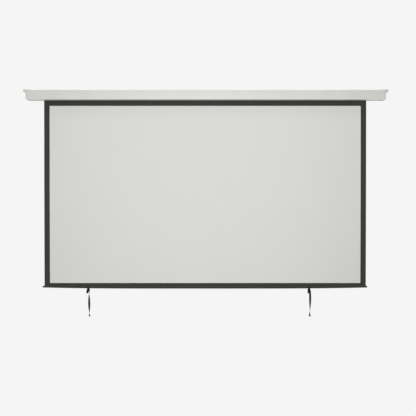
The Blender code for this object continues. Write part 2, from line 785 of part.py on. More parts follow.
def make_plugs(axis):
    body = TUBE_RADIUS - TUBE_WALL - GAP
    bore = SPINDLE_RADIUS + GAP
    step = TUBE_END + GAP
    profile = [
        (body, -PLUG_INNER),
        (body, -step),
        (TUBE_RADIUS, -step),
        (TUBE_RADIUS, -PLUG_FACE),
        (bore, -PLUG_FACE),
        (bore, -PLUG_INNER),
    ]
    lock_plug = turned("lock_plug", profile, ROLLER_AXIS, "+X", NYLON, axis)
    for turn in (0, math.pi):
        pivot = Vector((-PLUG_FACE, *pawl_pivot(turn)))
        hole = PAWL_PIN_DIAMETER / 2 + GAP
        cut(lock_plug, cylinder("pin_hole", pivot, "+X", -PLUG_LENGTH, 2 * PLUG_LENGTH, hole, sides=12))
    profile = [
        (TUBE_RADIUS, PLUG_FACE),
        (TUBE_RADIUS, step),
        (body, step),
        (body, PLUG_INNER),
        (bore, PLUG_INNER),
        (bore, PLUG_FACE),
    ]
    turned("idler_plug", profile, ROLLER_AXIS, "+X", NYLON, axis)
    pin_end = BRACKET_OUTER + TONGUE_PROUD
    cylinder("idler_pin", ROLLER_AXIS, "+X", PLUG_INNER, pin_end, SPINDLE_RADIUS, ZINC_STEEL, axis)
    profile = [
        (body, SPRING_PLUG_END),
        (body, SPRING_PLUG_START),
        (HUB_RADIUS, SPRING_PLUG_START),
        (HUB_RADIUS, SPRING_PLUG_START - ANCHOR_LENGTH),
        (bore, SPRING_PLUG_START - ANCHOR_LENGTH),
        (bore, SPRING_PLUG_END),
    ]
    turned("spring_plug", profile, ROLLER_AXIS, "+X", NYLON, axis)


# Lock: two pawls on the plug drop into notches of the fixed ratchet


def turned_point(point, turn):
    """A (y, z) point, given from the roller's axis, turned about it and placed in the world."""
    moved = Matrix.Rotation(turn, 2) @ Vector(point)
    return (ROLLER_Y + moved.x, moved.y)


def pawl_pivot(turn):
    return turned_point((0, PAWL_PIVOT_RADIUS), turn)


def pawl_tip(turn, swing):
    """Where a pawl's tip is after it has swung in from its rest, just clear of the ratchet."""
    clear = RATCHET_DIAMETER / 2 + PAWL_CLEARANCE + PAWL_TIP_RADIUS
    sine = (clear**2 - PAWL_PIVOT_RADIUS**2 - PAWL_LENGTH**2) / (2 * PAWL_PIVOT_RADIUS * PAWL_LENGTH)
    angle = math.asin(sine) - swing
    tip = (-PAWL_LENGTH * math.cos(angle), PAWL_PIVOT_RADIUS + PAWL_LENGTH * math.sin(angle))
    return turned_point(tip, turn)


def make_lock(axis):
    low, high = -PLUG_FACE - GAP - RATCHET_THICKNESS, -PLUG_FACE - GAP
    place = Vector((low, ROLLER_Y, 0))
    profile = ring(RATCHET_DIAMETER / 2, SPINDLE_RADIUS + GAP, 0, RATCHET_THICKNESS)
    ratchet = turned("lock_ratchet", profile, place, "+X", ZINC_STEEL)
    for turn in (0, math.pi):
        for step in range(NOTCH_STEPS):
            swing = PAWL_SWING * step / (NOTCH_STEPS - 1)
            outline = tapered_link(
                pawl_pivot(turn),
                PAWL_HUB_RADIUS + NOTCH_CLEARANCE,
                pawl_tip(turn, swing),
                PAWL_TIP_RADIUS + NOTCH_CLEARANCE,
            )
            cut(ratchet, prism("notch", outline, "YZ", low - CUT_ROOM, high + CUT_ROOM))

    pivots = []
    for word, turn in (("a", 0), ("b", math.pi)):
        pivot = Vector(((low + high) / 2, *pawl_pivot(turn)))
        pawl_axis = make_axis(f"pawl_{word}_axis", pivot, axis)
        outline = tapered_link(pawl_pivot(turn), PAWL_HUB_RADIUS, pawl_tip(turn, 0), PAWL_TIP_RADIUS)
        pawl = prism(f"lock_pawl_{word}", outline, "YZ", low, high, ZINC_STEEL, pawl_axis, pivot)
        hole = PAWL_PIN_DIAMETER / 2 + GAP
        through = RATCHET_THICKNESS / 2 + CUT_ROOM
        cut(pawl, cylinder("pawl_hole", pivot, "+X", -through, through, hole, sides=12))
        reach = RATCHET_THICKNESS / 2 + GAP
        pin = PAWL_PIN_DIAMETER / 2
        end = reach + PLUG_FLANGE + PLUG_LENGTH / 2
        cylinder(f"pawl_pin_{word}", pivot, "+X", -reach, end, pin, SPRING_STEEL, axis, sides=12)
        pivots.append(pivot)

    rim = TUBE_RADIUS - TUBE_WALL - GAP
    face = -PLUG_FACE - GAP
    end = face - COVER_DEPTH
    profile = [
        (TUBE_RADIUS, face),
        (TUBE_RADIUS, end),
        (COVER_HOLE_DIAMETER / 2, end),
        (COVER_HOLE_DIAMETER / 2, end + COVER_SHEET),
        (rim, end + COVER_SHEET),
        (rim, face),
    ]
    turned("lock_cover", profile, ROLLER_AXIS, "+X", BLACK_PLASTIC, axis)
    return pivots


# Spindle and spring


def make_spindle():
    outer = -BRACKET_OUTER - TONGUE_PROUD
    length = SPRING_PLUG_END - outer
    place = Vector((outer, ROLLER_Y, 0))
    spindle = cylinder("spring_spindle", place, "+X", 0, length, SPINDLE_RADIUS, ZINC_STEEL)
    tongue_end = -BRACKET_INNER + TONGUE_ROOM
    flat = TONGUE_THICKNESS / 2
    for word, low_z, high_z in (("upper", flat, SPINDLE_DIAMETER), ("lower", -SPINDLE_DIAMETER, -flat)):
        low = (outer - TONGUE_PROUD, ROLLER_Y - SPINDLE_DIAMETER, low_z)
        high = (tongue_end, ROLLER_Y + SPINDLE_DIAMETER, high_z)
        cut(spindle, box(f"tongue_flat_{word}", low, high))

    place = Vector((ANCHOR_START, ROLLER_Y, 0))
    profile = ring(HUB_RADIUS, SPINDLE_RADIUS + GAP, 0, ANCHOR_LENGTH)
    turned("spring_anchor", profile, place, "+X", NYLON)


def make_torsion_spring():
    count = SPRING_TURNS * POINTS_PER_TURN
    points = []
    for k in range(count + 1):
        angle = 2 * math.pi * k / POINTS_PER_TURN
        along = SPRING_START + SPRING_LENGTH * k / count
        across = SPRING_DIAMETER / 2 * math.cos(angle)
        up = SPRING_DIAMETER / 2 * math.sin(angle)
        points.append((along, ROLLER_Y + across, up))
    place = Vector((SPRING_START, ROLLER_Y, 0))
    tube_along("torsion_spring", points, SPRING_WIRE / 2, SPRING_STEEL, None, place, 1)


# Cloth


def drawn_in(point):
    """The cloth's side edges draw in towards the bottom."""
    share = min(max(-point.z / -PICTURE_BOTTOM, 0), 1)
    scale = 1 - EDGE_DRAW / (CLOTH_WIDTH / 2) * share**2
    return Vector((CLOTH_SHIFT + (point.x - CLOTH_SHIFT) * scale, point.y, point.z))


def make_cloth():
    half = CLOTH_WIDTH / 2
    end = PICTURE_BOTTOM
    path = [(CLOTH_FRONT, end * (1 - k / CLOTH_STEPS)) for k in range(CLOTH_STEPS + 1)]
    low, high = CLOTH_SHIFT - half, CLOTH_SHIFT + half
    common = {"place": Vector((CLOTH_SHIFT, CLOTH_FRONT, 0)), "steps": CLOTH_STEPS, "shape": drawn_in}
    folded_sheet("screen_cloth", path, low, high, CLOTH_THICKNESS, BLACK_CLOTH, **common)
    half = PICTURE_WIDTH / 2
    path = [(COATING_FRONT, end + PICTURE_HEIGHT * k / CLOTH_STEPS) for k in range(CLOTH_STEPS + 1)]
    low, high = CLOTH_SHIFT - half, CLOTH_SHIFT + half
    folded_sheet("picture_surface", path, low, high, COATING_THICKNESS, MATT_WHITE, **common)


# Bottom rod, its hem and caps


def bow(x):
    """How far the rod stands above its middle at this X."""
    half = CLOTH_WIDTH / 2 - EDGE_DRAW
    return ROD_BOW * min(abs(x - CLOTH_SHIFT) / half, 1) ** BOW_POWER


def hem_shape(point):
    """The hem's pocket follows the bowed rod, and its top stays level."""
    top = PICTURE_BOTTOM - GAP
    pocket_top = ROD_MID_Z + HEM_SEAM_HEIGHT + HEM_FLAP
    share = min(max((top - point.z) / (top - pocket_top), 0), 1)
    return Vector((point.x, point.y, point.z + bow(point.x) * share))


def make_hem(axis, strap_spots):
    inner = ROD_RADIUS + HEM_ROOM
    outer = inner + CLOTH_THICKNESS
    front = CLOTH_FRONT
    flap = CLOTH_FRONT + 2 * CLOTH_THICKNESS + GAP
    seam = ROD_MID_Z + HEM_SEAM_HEIGHT
    flare = math.acos(outer / HEM_SEAM_HEIGHT)
    start, end = math.pi / 2 - flare, math.pi / 2 + flare - 2 * math.pi
    pocket = arc((CLOTH_MID, ROD_MID_Z), outer, start, end, HEM_ARC_STEPS)
    path = [(flap, seam + HEM_FLAP), (flap, seam)] + pocket + [(front, seam), (front, PICTURE_BOTTOM - GAP)]
    half = CLOTH_WIDTH / 2 - EDGE_DRAW
    low, high = CLOTH_SHIFT - half, CLOTH_SHIFT + half
    place = world_place(axis)
    hem = folded_sheet(
        "bottom_hem", path, low, high, CLOTH_THICKNESS, BLACK_CLOTH, axis, place, ROD_STEPS, hem_shape
    )
    for spot in strap_spots:
        side = STRAP_WIDTH / 2 + NOTCH_MARGIN
        through = HEM_RADIUS + NOTCH_MARGIN
        top = LOOP_OUTER + NOTCH_TOP_MARGIN
        low = spot - Vector((side, through, through))
        cut(hem, box("strap_notch", low, spot + Vector((side, through, top))))


def make_rod(axis):
    half = CLOTH_WIDTH / 2 - EDGE_DRAW
    bare = ROD_CAP_REACH - ROD_CAP_END - GAP
    centre = CLOTH_SHIFT
    inner = [centre - half + 2 * half * k / ROD_STEPS for k in range(ROD_STEPS + 1)]
    left_end = centre - half - bare + ROD_SHIFT
    right_end = centre + half + bare + ROD_SHIFT
    stations = [left_end] + inner + [right_end]
    points = [(x, CLOTH_MID, ROD_MID_Z + bow(x)) for x in stations]
    tube_along("bottom_rod", points, ROD_RADIUS, BLACK_PAINT, axis, world_place(axis), 4)

    bore = ROD_RADIUS + GAP
    outer = bore + ROD_CAP_WALL
    for side, word, rod_end in ((-1, "left", left_end), (1, "right", right_end)):
        shift = side * ROD_SHIFT
        end = ROD_CAP_END + GAP
        mouth = -(bare + shift - GAP)
        rim = (outer - ROD_CAP_ROUNDING, end - ROD_CAP_ROUNDING)
        profile = [(0, end)] + arc(rim, ROD_CAP_ROUNDING, math.pi / 2, 0, ROD_CAP_STEPS)
        profile += [(outer, mouth), (bore, mouth), (bore, GAP), (0, GAP)]
        place = Vector((rod_end, CLOTH_MID, ROD_END_Z))
        facing = "+X" if side > 0 else "-X"
        turned(f"rod_cap_{word}", profile, place, facing, BLACK_PLASTIC, axis, closed=False, sides=24)


# Pull straps


def level_at(angle):
    return Vector((math.cos(angle), math.sin(angle), 0))


def begun(run, length):
    """How much of a bend that dies away over a length is done after a run."""
    return 1 - math.exp(-run / length)


def short_end(spot, layer, aside):
    """Stations from the free end up to where the two ends part."""
    stations = []
    for k in range(SHORT_STEPS, 0, -1):
        share = (k / SHORT_STEPS) ** SHORT_EASE
        run = (SHORT_DROP - STRAP_CLAMP_DROP) * k / SHORT_STEPS
        forward = layer + (SHORT_FORWARD - layer) * share
        offset = Vector((aside * begun(run, SHORT_SPREAD_RUN), -forward, -STRAP_CLAMP_DROP - run))
        stations.append((spot + offset, level_at(SHORT_TWIST * share)))
    return stations


def long_end(spot, layer, twists, lean, lean_run, drift):
    """Stations from where the two ends part down to the free end."""
    twist_per_metre, first_twist, first_run, last_twist = twists
    stations = []
    for k in range(1, LONG_STEPS + 1):
        share = k / LONG_STEPS
        run = (LONG_DROP - STRAP_CLAMP_DROP) * share
        back = layer + LONG_BACK * begun(run, first_run)
        aside = lean * begun(run, lean_run) + drift * share**DRIFT_POWER
        angle = twist_per_metre * run + first_twist * begun(run, first_run)
        angle += last_twist * share**LAST_TWIST_POWER
        stations.append((spot + Vector((aside, back, -STRAP_CLAMP_DROP - run)), level_at(angle)))
    return stations


def make_strap(word, spot, short_aside, hang, axis):
    """A tape from its short end up over the rod and down to its twisted long end."""
    layer = (STRAP_THICKNESS + STRAP_ROOM) / 2
    flare = math.acos((STRAP_LOOP_RADIUS - layer) / STRAP_CLAMP_DROP)
    start, end = 1.5 * math.pi - flare, flare - math.pi / 2
    loop = [(-layer, -STRAP_CLAMP_DROP)] + arc((0, 0), STRAP_LOOP_RADIUS, start, end, LOOP_STEPS)
    loop.append((layer, -STRAP_CLAMP_DROP))
    stations = short_end(spot, layer, short_aside)
    stations += [(spot + Vector((0, y, z)), level_at(0)) for y, z in loop]
    stations += long_end(spot, layer, *hang)
    ribbon(f"pull_strap_{word}", stations, STRAP_WIDTH, STRAP_THICKNESS, BLACK_WEBBING, axis, spot)


def main():
    make_case()
    make_trim("slot_trim_front", SLOT_FRONT, -1)
    make_trim("slot_trim_rear", SLOT_REAR, 1)
    for side, word in ((-1, "left"), (1, "right")):
        make_end_cap(side, word)
        make_screws(side, word)
    make_left_bracket()
    make_right_bracket()

    roller_axis = make_axis("roller_axis", ROLLER_AXIS)
    make_tube(roller_axis)
    make_wound_cloth(roller_axis)
    make_plugs(roller_axis)
    pivots = make_lock(roller_axis)
    make_spindle()
    make_torsion_spring()

    make_cloth()
    bar_axis = make_axis("bar_axis", Vector((CLOTH_SHIFT, CLOTH_MID, ROD_MID_Z)))
    half = CLOTH_WIDTH / 2
    strap_x = (CLOTH_SHIFT - half + STRAP_LEFT_INSET, CLOTH_SHIFT + half - STRAP_RIGHT_INSET)
    spots = [Vector((x, CLOTH_MID, ROD_MID_Z + bow(x))) for x in strap_x]
    make_hem(bar_axis, spots)
    make_rod(bar_axis)
    left_twists = (LEFT_TWIST_PER_METRE, LEFT_FIRST_TWIST, LEFT_FIRST_RUN, LEFT_LAST_TWIST)
    left_hang = (left_twists, LEFT_LEAN, LEFT_LEAN_RUN, LEFT_DRIFT)
    right_twists = (RIGHT_TWIST_PER_METRE, RIGHT_FIRST_TWIST, RIGHT_FIRST_RUN, RIGHT_LAST_TWIST)
    right_hang = (right_twists, RIGHT_LEAN, RIGHT_LEAN_RUN, RIGHT_DRIFT)
    straps = (("left", LEFT_SHORT_ASIDE, left_hang), ("right", RIGHT_SHORT_ASIDE, right_hang))
    for (word, short_aside, hang), spot in zip(straps, spots):
        strap_axis = make_axis(f"strap_{word}_axis", spot, bar_axis)
        make_strap(word, spot, short_aside, hang, strap_axis)

    print("travel", round(TRAVEL, 5), "radians per metre", round(ROLLER_RADIANS_PER_METRE, 5))
    print("roller axis", tuple(round(v, 5) for v in ROLLER_AXIS))
    print("pawl pivots", [tuple(round(v, 5) for v in p) for p in pivots])
    print("strap pivots", [tuple(round(v, 5) for v in s) for s in spots])


main()
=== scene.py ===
"""Looks of the pull-down projector screen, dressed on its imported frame. Metres, +Z up."""

import json
import math

import bmesh
import bpy
from mathutils import Matrix, Vector, noise


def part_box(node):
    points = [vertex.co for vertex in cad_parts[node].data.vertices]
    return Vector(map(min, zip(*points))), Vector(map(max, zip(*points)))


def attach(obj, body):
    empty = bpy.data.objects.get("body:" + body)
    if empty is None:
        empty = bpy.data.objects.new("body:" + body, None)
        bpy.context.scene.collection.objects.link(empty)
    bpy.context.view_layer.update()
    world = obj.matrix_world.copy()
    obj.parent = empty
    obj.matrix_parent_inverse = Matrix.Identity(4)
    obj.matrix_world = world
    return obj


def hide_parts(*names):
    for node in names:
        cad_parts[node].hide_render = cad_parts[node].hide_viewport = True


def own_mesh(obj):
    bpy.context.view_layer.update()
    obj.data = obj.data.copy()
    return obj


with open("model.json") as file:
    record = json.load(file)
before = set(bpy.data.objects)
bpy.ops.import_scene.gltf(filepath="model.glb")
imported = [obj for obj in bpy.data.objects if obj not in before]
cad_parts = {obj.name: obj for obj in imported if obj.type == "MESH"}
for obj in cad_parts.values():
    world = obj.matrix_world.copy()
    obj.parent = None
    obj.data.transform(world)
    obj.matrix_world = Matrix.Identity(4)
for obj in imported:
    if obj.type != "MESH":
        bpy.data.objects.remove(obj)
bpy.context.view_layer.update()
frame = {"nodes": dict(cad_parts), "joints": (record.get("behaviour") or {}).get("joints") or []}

# Camera
CAMERA_X = 0.0155
CAMERA_DISTANCE = 5.5
CAMERA_Z = -0.79485
VIEW_WIDTH = 2.942
CLIP_END = 100

# Light
BACKGROUND = (0.9130, 0.9130, 0.9130)
DOME_STRENGTH = 0.416
FLOOR_GLOW = 0.345
KEY_PLACE = (-0.07, -5.0, -0.416)
KEY_TARGET = (-0.07, 0.0, -0.416)
KEY_CONE = math.radians(53.6)
KEY_RADIUS = 0.6
KEY_WATTS = 366
AREA_LAMPS = {
    "top": {
        "place": (0.0, 0.30, 2.0),
        "target": (0.0, 0.30, 0.0),
        "size": (3.2, 0.5),
        "watts": 38,
    },
    "front": {
        "place": (0.0, -1.30, 2.2),
        "target": (0.0, -0.04, 0.0),
        "size": (2.6, 0.6),
        "watts": 10,
    },
}
FLOOR_Z = -2.6
FLOOR_HALF = 15
FLOOR_COLOUR = (0.8, 0.8, 0.8, 1)
FLOOR_ROUGHNESS = 0.9

# Case, from its folded sheet steel
WALL = 0.0012
FRONT_LOWER_RADIUS = 0.005
FRONT_UPPER_RADIUS = 0.007
BACK_RADIUS = 0.003
LIP_HEIGHT = 0.004
LIP_RADIUS = 0.0015
LIP_IN_TRIM = 0.0013
SHEET_EDGE = 0.0002
CASE_ARC_STEPS = 10

# End caps
CAP_GAP = 0.0003
CAP_PLATE = 0.006
CAP_ROUNDING = 0.0024
CAP_REAR_EDGE = 0.0003
LEAST_RADIUS = 0.0005
EAR_THICKNESS = 0.0024
EAR_WIDTH = 0.052
EAR_LAP = 0.037
EAR_REACH = 0.022
EAR_CORNER = 0.002
EAR_EDGE = 0.0005
EAR_STEPS = 6
EAR_SLOT = (0.0055, 0.014)  # width, length
EAR_SLOT_STEPS = 12
RIB_THICKNESS = 0.003
RIB_TIP_HEIGHT = 0.0165
RIB_ROOT_HEIGHT = 0.026
CAP_STEPS = 6
CAP_SPIGOT = 0.012
SPIGOT_WALL = 0.002
SPIGOT_EDGE = 0.0003
RIB_EDGE = 0.0004
JOIN = 0.0006
PANEL_MARGIN = 0.007
PANEL_RADIUS = 0.003
PANEL_DEPTH = 0.0006
# The panel's edge: share of its depth, inset
PANEL_PROFILE = ((0, 0), (0.15, 0.0002), (0.85, 0.0005), (1, 0.0009))
BOSS_RADIUS = 0.0052
BOSS_EDGE = 0.0002
BOSS_ROOT = 0.001

# Screws
SCREW_HEAD_RADIUS = 0.0034
SCREW_HEAD_HEIGHT = 0.002
SCREW_HEAD_EDGE = 0.0002
SCREW_HEAD_STEPS = 10
SCREW_HEAD_SHARES = (0.32, 0.68)  # the rim and the dome, of the head's height
SCREW_DOME_POWER = 0.8
SCREW_SEAT = 0.0003
SCREW_HOLE = 0.002
SCREW_HOLE_REACH = 0.01
SCREW_CORE = 0.0013
SCREW_CREST = 0.0017
SCREW_PITCH = 0.0012
# One turn of thread: radius, share of the pitch
SCREW_TURN = ((SCREW_CORE, 0), (SCREW_CREST, 0.35), (SCREW_CREST, 0.5), (SCREW_CORE, 0.85))
SCREW_BARE_PITCHES = 1.5
SCREW_SIDES = 32
SCREW_EDGE = 0.00008
SCREW_EDGE_ANGLE = 60
SCREW_FIRST_ANGLE = 0.7
SCREW_NEXT_ANGLE = 1.9
CAP_SCREW_SPREAD = 0.042
RECESS_WIDTH = 0.0009
RECESS_REACH = 0.0019
RECESS_DEPTH = 0.0011
RECESS_TAPER = (0.75, 1.1)
RECESS_OVERSHOOT = 0.001

# Meshes
ARC_STEPS = 8
MITRE_LIMIT = 0.3
EDGE_ANGLE = math.radians(35)
METAL_EDGE = 0.0002
MOULDED_EDGE = 0.0003
TRIM_EDGE = 0.0001
WELD_DISTANCE = 0.000001
POLE_WELD_DISTANCE = 0.00001

# Cloth
CLOTH_THICKNESS = 0.0005
EDGE_DRAW = 0.003
RIPPLE = 0.0006
RIPPLES_PER_METRE = (1.6, 0.7)
RIPPLE_LAYER = 3.1
RIPPLE_TOP_RUN = (0.04, 0.35)
RIPPLE_FOOT_RUN = (0.0, 0.30)
EDGE_CURL = 0.0010
EDGE_CURL_WIDTH = 0.030
BORDER_COLUMNS = 6
PICTURE_COLUMNS = 110
PICTURE_ROWS = 64
TOP_ROWS = 8
SAME_LINE = 0.0001
RESERVE_TURNS = 1.5
RESERVE_ROOM = 0.0003
RESERVE_STATIONS = 9
WIND_PITCH = 0.0008
WOUND_STEPS = 96

# Torsion spring
SPRING_WIRE = 0.002
SPRING_DIAMETER = 0.022
SPRING_TURNS = 20
SPRING_LENGTH = 0.230
SPRING_STEPS = 32
SPRING_SIDES = 12

# Bottom rod and hem
ROD_RADIUS = 0.005
ROD_BOW = 0.0076
BOW_POWER = 4
ROD_SIDES = 32
ROD_STATIONS = 90
ROD_CAP_ROUNDING = 0.0022
ROD_CAP_DIMPLE = (0.0012, 0.0006, 0.0003)  # its two insets from the rounding, and its depth
ROD_CAP_EDGE = (0.0003, 0.0004)  # across, along
ROD_CAP_BORE = (0.0003, 0.004)  # its room round the rod, and its depth
ROD_CAP_STEPS = 8
ROD_CAP_SIDES = 40
HEM_ROOM = 0.0005
HEM_STATIONS = 97
POCKET_STEPS = 28
SEAM_HEIGHT = 0.014
FLAP = 0.006
LAYER_GAP = 0.0003
CLOTH_SEAT = 0.00003

# Pull straps
STRAP_WIDTH = 0.0145
STRAP_THICKNESS = 0.001
STRAP_ROOM = 0.0004
CLAMP_DROP = 0.0085
SHORT_DROP = 0.0395
SHORT_FORWARD = 0.0142
SHORT_EASE = 1.4
SHORT_TWIST = math.radians(12)
SHORT_SPREAD_RUN = 0.006
LONG_DROP = 0.2045
LONG_BACK = 0.0035
DRIFT_POWER = 4
LAST_TWIST_POWER = 10
NOTCH_MARGIN = 0.0006
SHORT_STEPS = 16
LOOP_STEPS = 32
LONG_STEPS = 120
TAPE_MIDDLE = 0.84
TAPE_MIDDLE_SHARES = (-0.6, -0.3, 0, 0.3, 0.6)
# The tape's bound edge: inset, share of the thickness
TAPE_EDGE = ((0.0016, 0.84), (0.0011, 1), (0.0004, 0.92), (0, 0.35))
THREAD_RADIUS = 0.00028
THREAD_RISE = 0.3
STITCHES = 5
STITCH_SPAN = 0.0116
STITCH_RISE = 0.0002
STITCH_ENDS = (0.1, 0.9)
STITCH_FACE = 0.92
STITCH_SIDES = 8
SEAM_PITCH = 0.006
SHORT_ASIDE = {"left": -0.0055, "right": -0.0050}
STRAP_HANGS = {
    "left": {
        "twist_per_metre": math.radians(1040),
        "first_twist": math.radians(85),
        "first_run": 0.025,
        "lean": 0.0052,
        "lean_run": 0.006,
        "drift": 0.0030,
        "last_twist": math.radians(50),
    },
    "right": {
        "twist_per_metre": math.radians(975),
        "first_twist": math.radians(-73),
        "first_run": 0.020,
        "lean": 0.0082,
        "lean_run": 0.015,
        "drift": -0.0040,
        "last_twist": math.radians(36),
    },
}


# Places read from the frame

SHELL_LOW, SHELL_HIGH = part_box("case_shell")
CLOTH_LOW, CLOTH_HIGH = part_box("screen_cloth")
PICTURE_LOW, PICTURE_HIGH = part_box("picture_surface")
HEM_LOW, HEM_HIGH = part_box("bottom_hem")
ROD_LOW, ROD_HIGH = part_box("bottom_rod")
LIP_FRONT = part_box("slot_trim_front")[1].y - LIP_IN_TRIM
LIP_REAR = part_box("slot_trim_rear")[0].y + LIP_IN_TRIM
JOINTS = {joint["name"]: joint for joint in frame["joints"]}

CASE_END = SHELL_HIGH.x + CAP_GAP + CAP_PLATE
EAR_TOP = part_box("end_cap_left")[1].z
EAR_MID_Y = (SHELL_LOW.y + SHELL_HIGH.y) / 2
CLOTH_X = (CLOTH_LOW.x + CLOTH_HIGH.x) / 2
CLOTH_HALF = (CLOTH_HIGH.x - CLOTH_LOW.x) / 2
CLOTH_FRONT = CLOTH_LOW.y
CLOTH_MID = (CLOTH_LOW.y + CLOTH_HIGH.y) / 2
CLOTH_END = HEM_HIGH.z + CLOTH_SEAT
ROD_MID_Z = ROD_LOW.z + ROD_RADIUS
ROLLER_AXIS = Vector(JOINTS["roller_turn"]["pos_m"])
STRAP_SPOTS = {word: Vector(JOINTS[f"strap_{word}_swing"]["pos_m"]) for word in STRAP_HANGS}


# Materials


def node(tree, kind, inputs=None, **settings):
    """A shader node, whose inputs take a value or another node's output."""
    made = tree.nodes.new(kind)
    for key, value in settings.items():
        setattr(made, key, value)
    for key, value in (inputs or {}).items():
        if isinstance(value, bpy.types.NodeSocket):
            tree.links.new(value, made.inputs[key])
        else:
            made.inputs[key].default_value = value
    return made


def start_material(name):
    material = bpy.data.materials.new(name)
    material.use_nodes = True
    tree = material.node_tree
    return material, tree, tree.nodes["Principled BSDF"]


def connect(tree, shader, **sockets):
    for key, value in sockets.items():
        socket = shader.inputs[key.replace("_", " ")]
        if isinstance(value, bpy.types.NodeSocket):
            tree.links.new(value, socket)
        else:
            socket.default_value = value


def coordinates(tree, kind="Object"):
    return node(tree, "ShaderNodeTexCoord").outputs[kind]


def grain(tree, where, scale, detail=2.0, roughness=0.5):
    inputs = {"Vector": where, "Scale": scale, "Detail": detail, "Roughness": roughness}
    return node(tree, "ShaderNodeTexNoise", inputs).outputs["Fac"]


def spread(tree, value, low, high, near=0.3, far=0.7):
    """A value from near to far, mapped to low to high."""
    inputs = {"Value": value, "From Min": near, "From Max": far, "To Min": low, "To Max": high}
    return node(tree, "ShaderNodeMapRange", inputs).outputs["Result"]


def tint(tree, colour, amount):
    """A colour times a grey amount."""
    mix = node(tree, "ShaderNodeMix", data_type="RGBA", blend_type="MULTIPLY")
    mix.inputs["Factor"].default_value = 1
    mix.inputs["A"].default_value = (*colour, 1)
    tree.links.new(amount, mix.inputs["B"])
    return mix.outputs["Result"]


def bump(tree, height, distance):
    inputs = {"Height": height, "Distance": distance, "Strength": 1.0}
    return node(tree, "ShaderNodeBump", inputs).outputs["Normal"]


def combine(tree, first, second, operation="ADD"):
    """Two values added, or joined by another of the maths node's operations."""
    made = node(tree, "ShaderNodeMath", operation=operation)
    for socket, value in zip(made.inputs, (first, second)):
        if isinstance(value, bpy.types.NodeSocket):
            tree.links.new(value, socket)
        else:
            socket.default_value = value
    return made.outputs[0]


def maths(tree, value, operation):
    """A function of one value."""
    return node(tree, "ShaderNodeMath", {0: value}, operation=operation).outputs[0]


def paint(name, colour, roughness, texture_scale, texture_depth):
    """Powder coat or moulded plastic: a fine texture, with colour and gloss a little uneven."""
    material, tree, shader = start_material(name)
    where = coordinates(tree)
    uneven = spread(tree, grain(tree, where, 9, 3), 0.975, 1.015)
    gloss = spread(tree, grain(tree, where, 60, 3), roughness - 0.05, roughness + 0.05)
    fine = grain(tree, where, texture_scale, 2, 0.6)
    connect(
        tree,
        shader,
        Base_Color=tint(tree, colour, uneven),
        Roughness=gloss,
        Normal=bump(tree, fine, texture_depth),
        IOR=1.48,
    )
    return material


def weave(tree, where, pitch):
    """A plain weave: warp and weft threads that cross over and under each other."""
    split = node(tree, "ShaderNodeSeparateXYZ", {"Vector": where})
    turn = math.pi / pitch
    waves = []
    for output in ("X", "Y"):
        waves.append(maths(tree, combine(tree, split.outputs[output], turn, "MULTIPLY"), "SINE"))
    warp, weft = [maths(tree, wave, "ABSOLUTE") for wave in waves]
    crossing = combine(tree, *waves, "MULTIPLY")
    over = spread(tree, crossing, 0, 1, -0.2, 0.2)
    mix = node(tree, "ShaderNodeMix", {"Factor": over}, data_type="FLOAT")
    tree.links.new(warp, mix.inputs["A"])
    tree.links.new(weft, mix.inputs["B"])
    return mix.outputs["Result"]


def cloth(name, colour, roughness, pitch, depth, unevenness, sheen=0.0):
    """Coated cloth with its weave showing faintly through the coat."""
    material, tree, shader = start_material(name)
    where = coordinates(tree, "UV")
    uneven = spread(tree, grain(tree, where, 5, 4), 1 - unevenness, 1 + unevenness)
    threads = weave(tree, where, pitch)
    speckle = grain(tree, where, 1400, 2, 0.7)
    height = combine(tree, threads, speckle)
    shade = combine(tree, uneven, spread(tree, speckle, 1 - unevenness, 1 + unevenness), "MULTIPLY")
    connect(
        tree,
        shader,
        Base_Color=tint(tree, colour, shade),
        Roughness=roughness,
        Normal=bump(tree, height, depth),
        Sheen_Weight=sheen,
        Specular_IOR_Level=0.3,
    )
    return material


def webbing(name, colour, rib, depth):
    """Woven tape: slanting ribs that meet in a herringbone, with fine threads along it, and painted
    shade in the grooves and a painted highlight on the ribs.
    """
    material, tree, shader = start_material(name)
    where = coordinates(tree, "UV")
    split = node(tree, "ShaderNodeSeparateXYZ", {"Vector": where})
    side = maths(tree, split.outputs["X"], "ABSOLUTE")
    slant = combine(tree, combine(tree, side, 0.8, "MULTIPLY"), split.outputs["Y"])
    turn = 2 * math.pi / rib
    ribs = maths(tree, combine(tree, slant, turn, "MULTIPLY"), "SINE")
    threads = maths(tree, combine(tree, side, turn, "MULTIPLY"), "SINE")
    height = combine(tree, ribs, combine(tree, threads, 0.5, "MULTIPLY"))
    height = combine(tree, height, grain(tree, where, 3000, 2, 0.7))
    # Painted shade and highlight: the colour follows the relief, darker in the grooves and lighter
    # on the ribs
    shade = spread(tree, height, 0.65, 1.5, -1.2, 2.2)
    connect(
        tree,
        shader,
        Base_Color=tint(tree, colour, shade),
        Roughness=0.85,
        Normal=bump(tree, height, depth),
        Sheen_Weight=0.05,
        Specular_IOR_Level=0.15,
    )
    return material


def metal(name, colour, roughness, stretch=(1, 1, 1), scale=300):
    """Plated or drawn steel with fine marks along one direction."""
    material, tree, shader = start_material(name)
    where = coordinates(tree)
    drawn = node(tree, "ShaderNodeMapping", {"Vector": where, "Scale": stretch}).outputs["Vector"]
    marks = grain(tree, drawn, scale, 3, 0.6)
    clouds = grain(tree, where, 45, 4)
    uneven = spread(tree, marks, 0.94, 1.04), spread(tree, clouds, 0.93, 1.03)
    connect(
        tree,
        shader,
        Base_Color=tint(tree, colour, combine(tree, *uneven, "MULTIPLY")),
        Metallic=1.0,
        Roughness=spread(tree, marks, roughness - 0.07, roughness + 0.09),
        Normal=bump(tree, marks, 0.00002),
    )
    return material


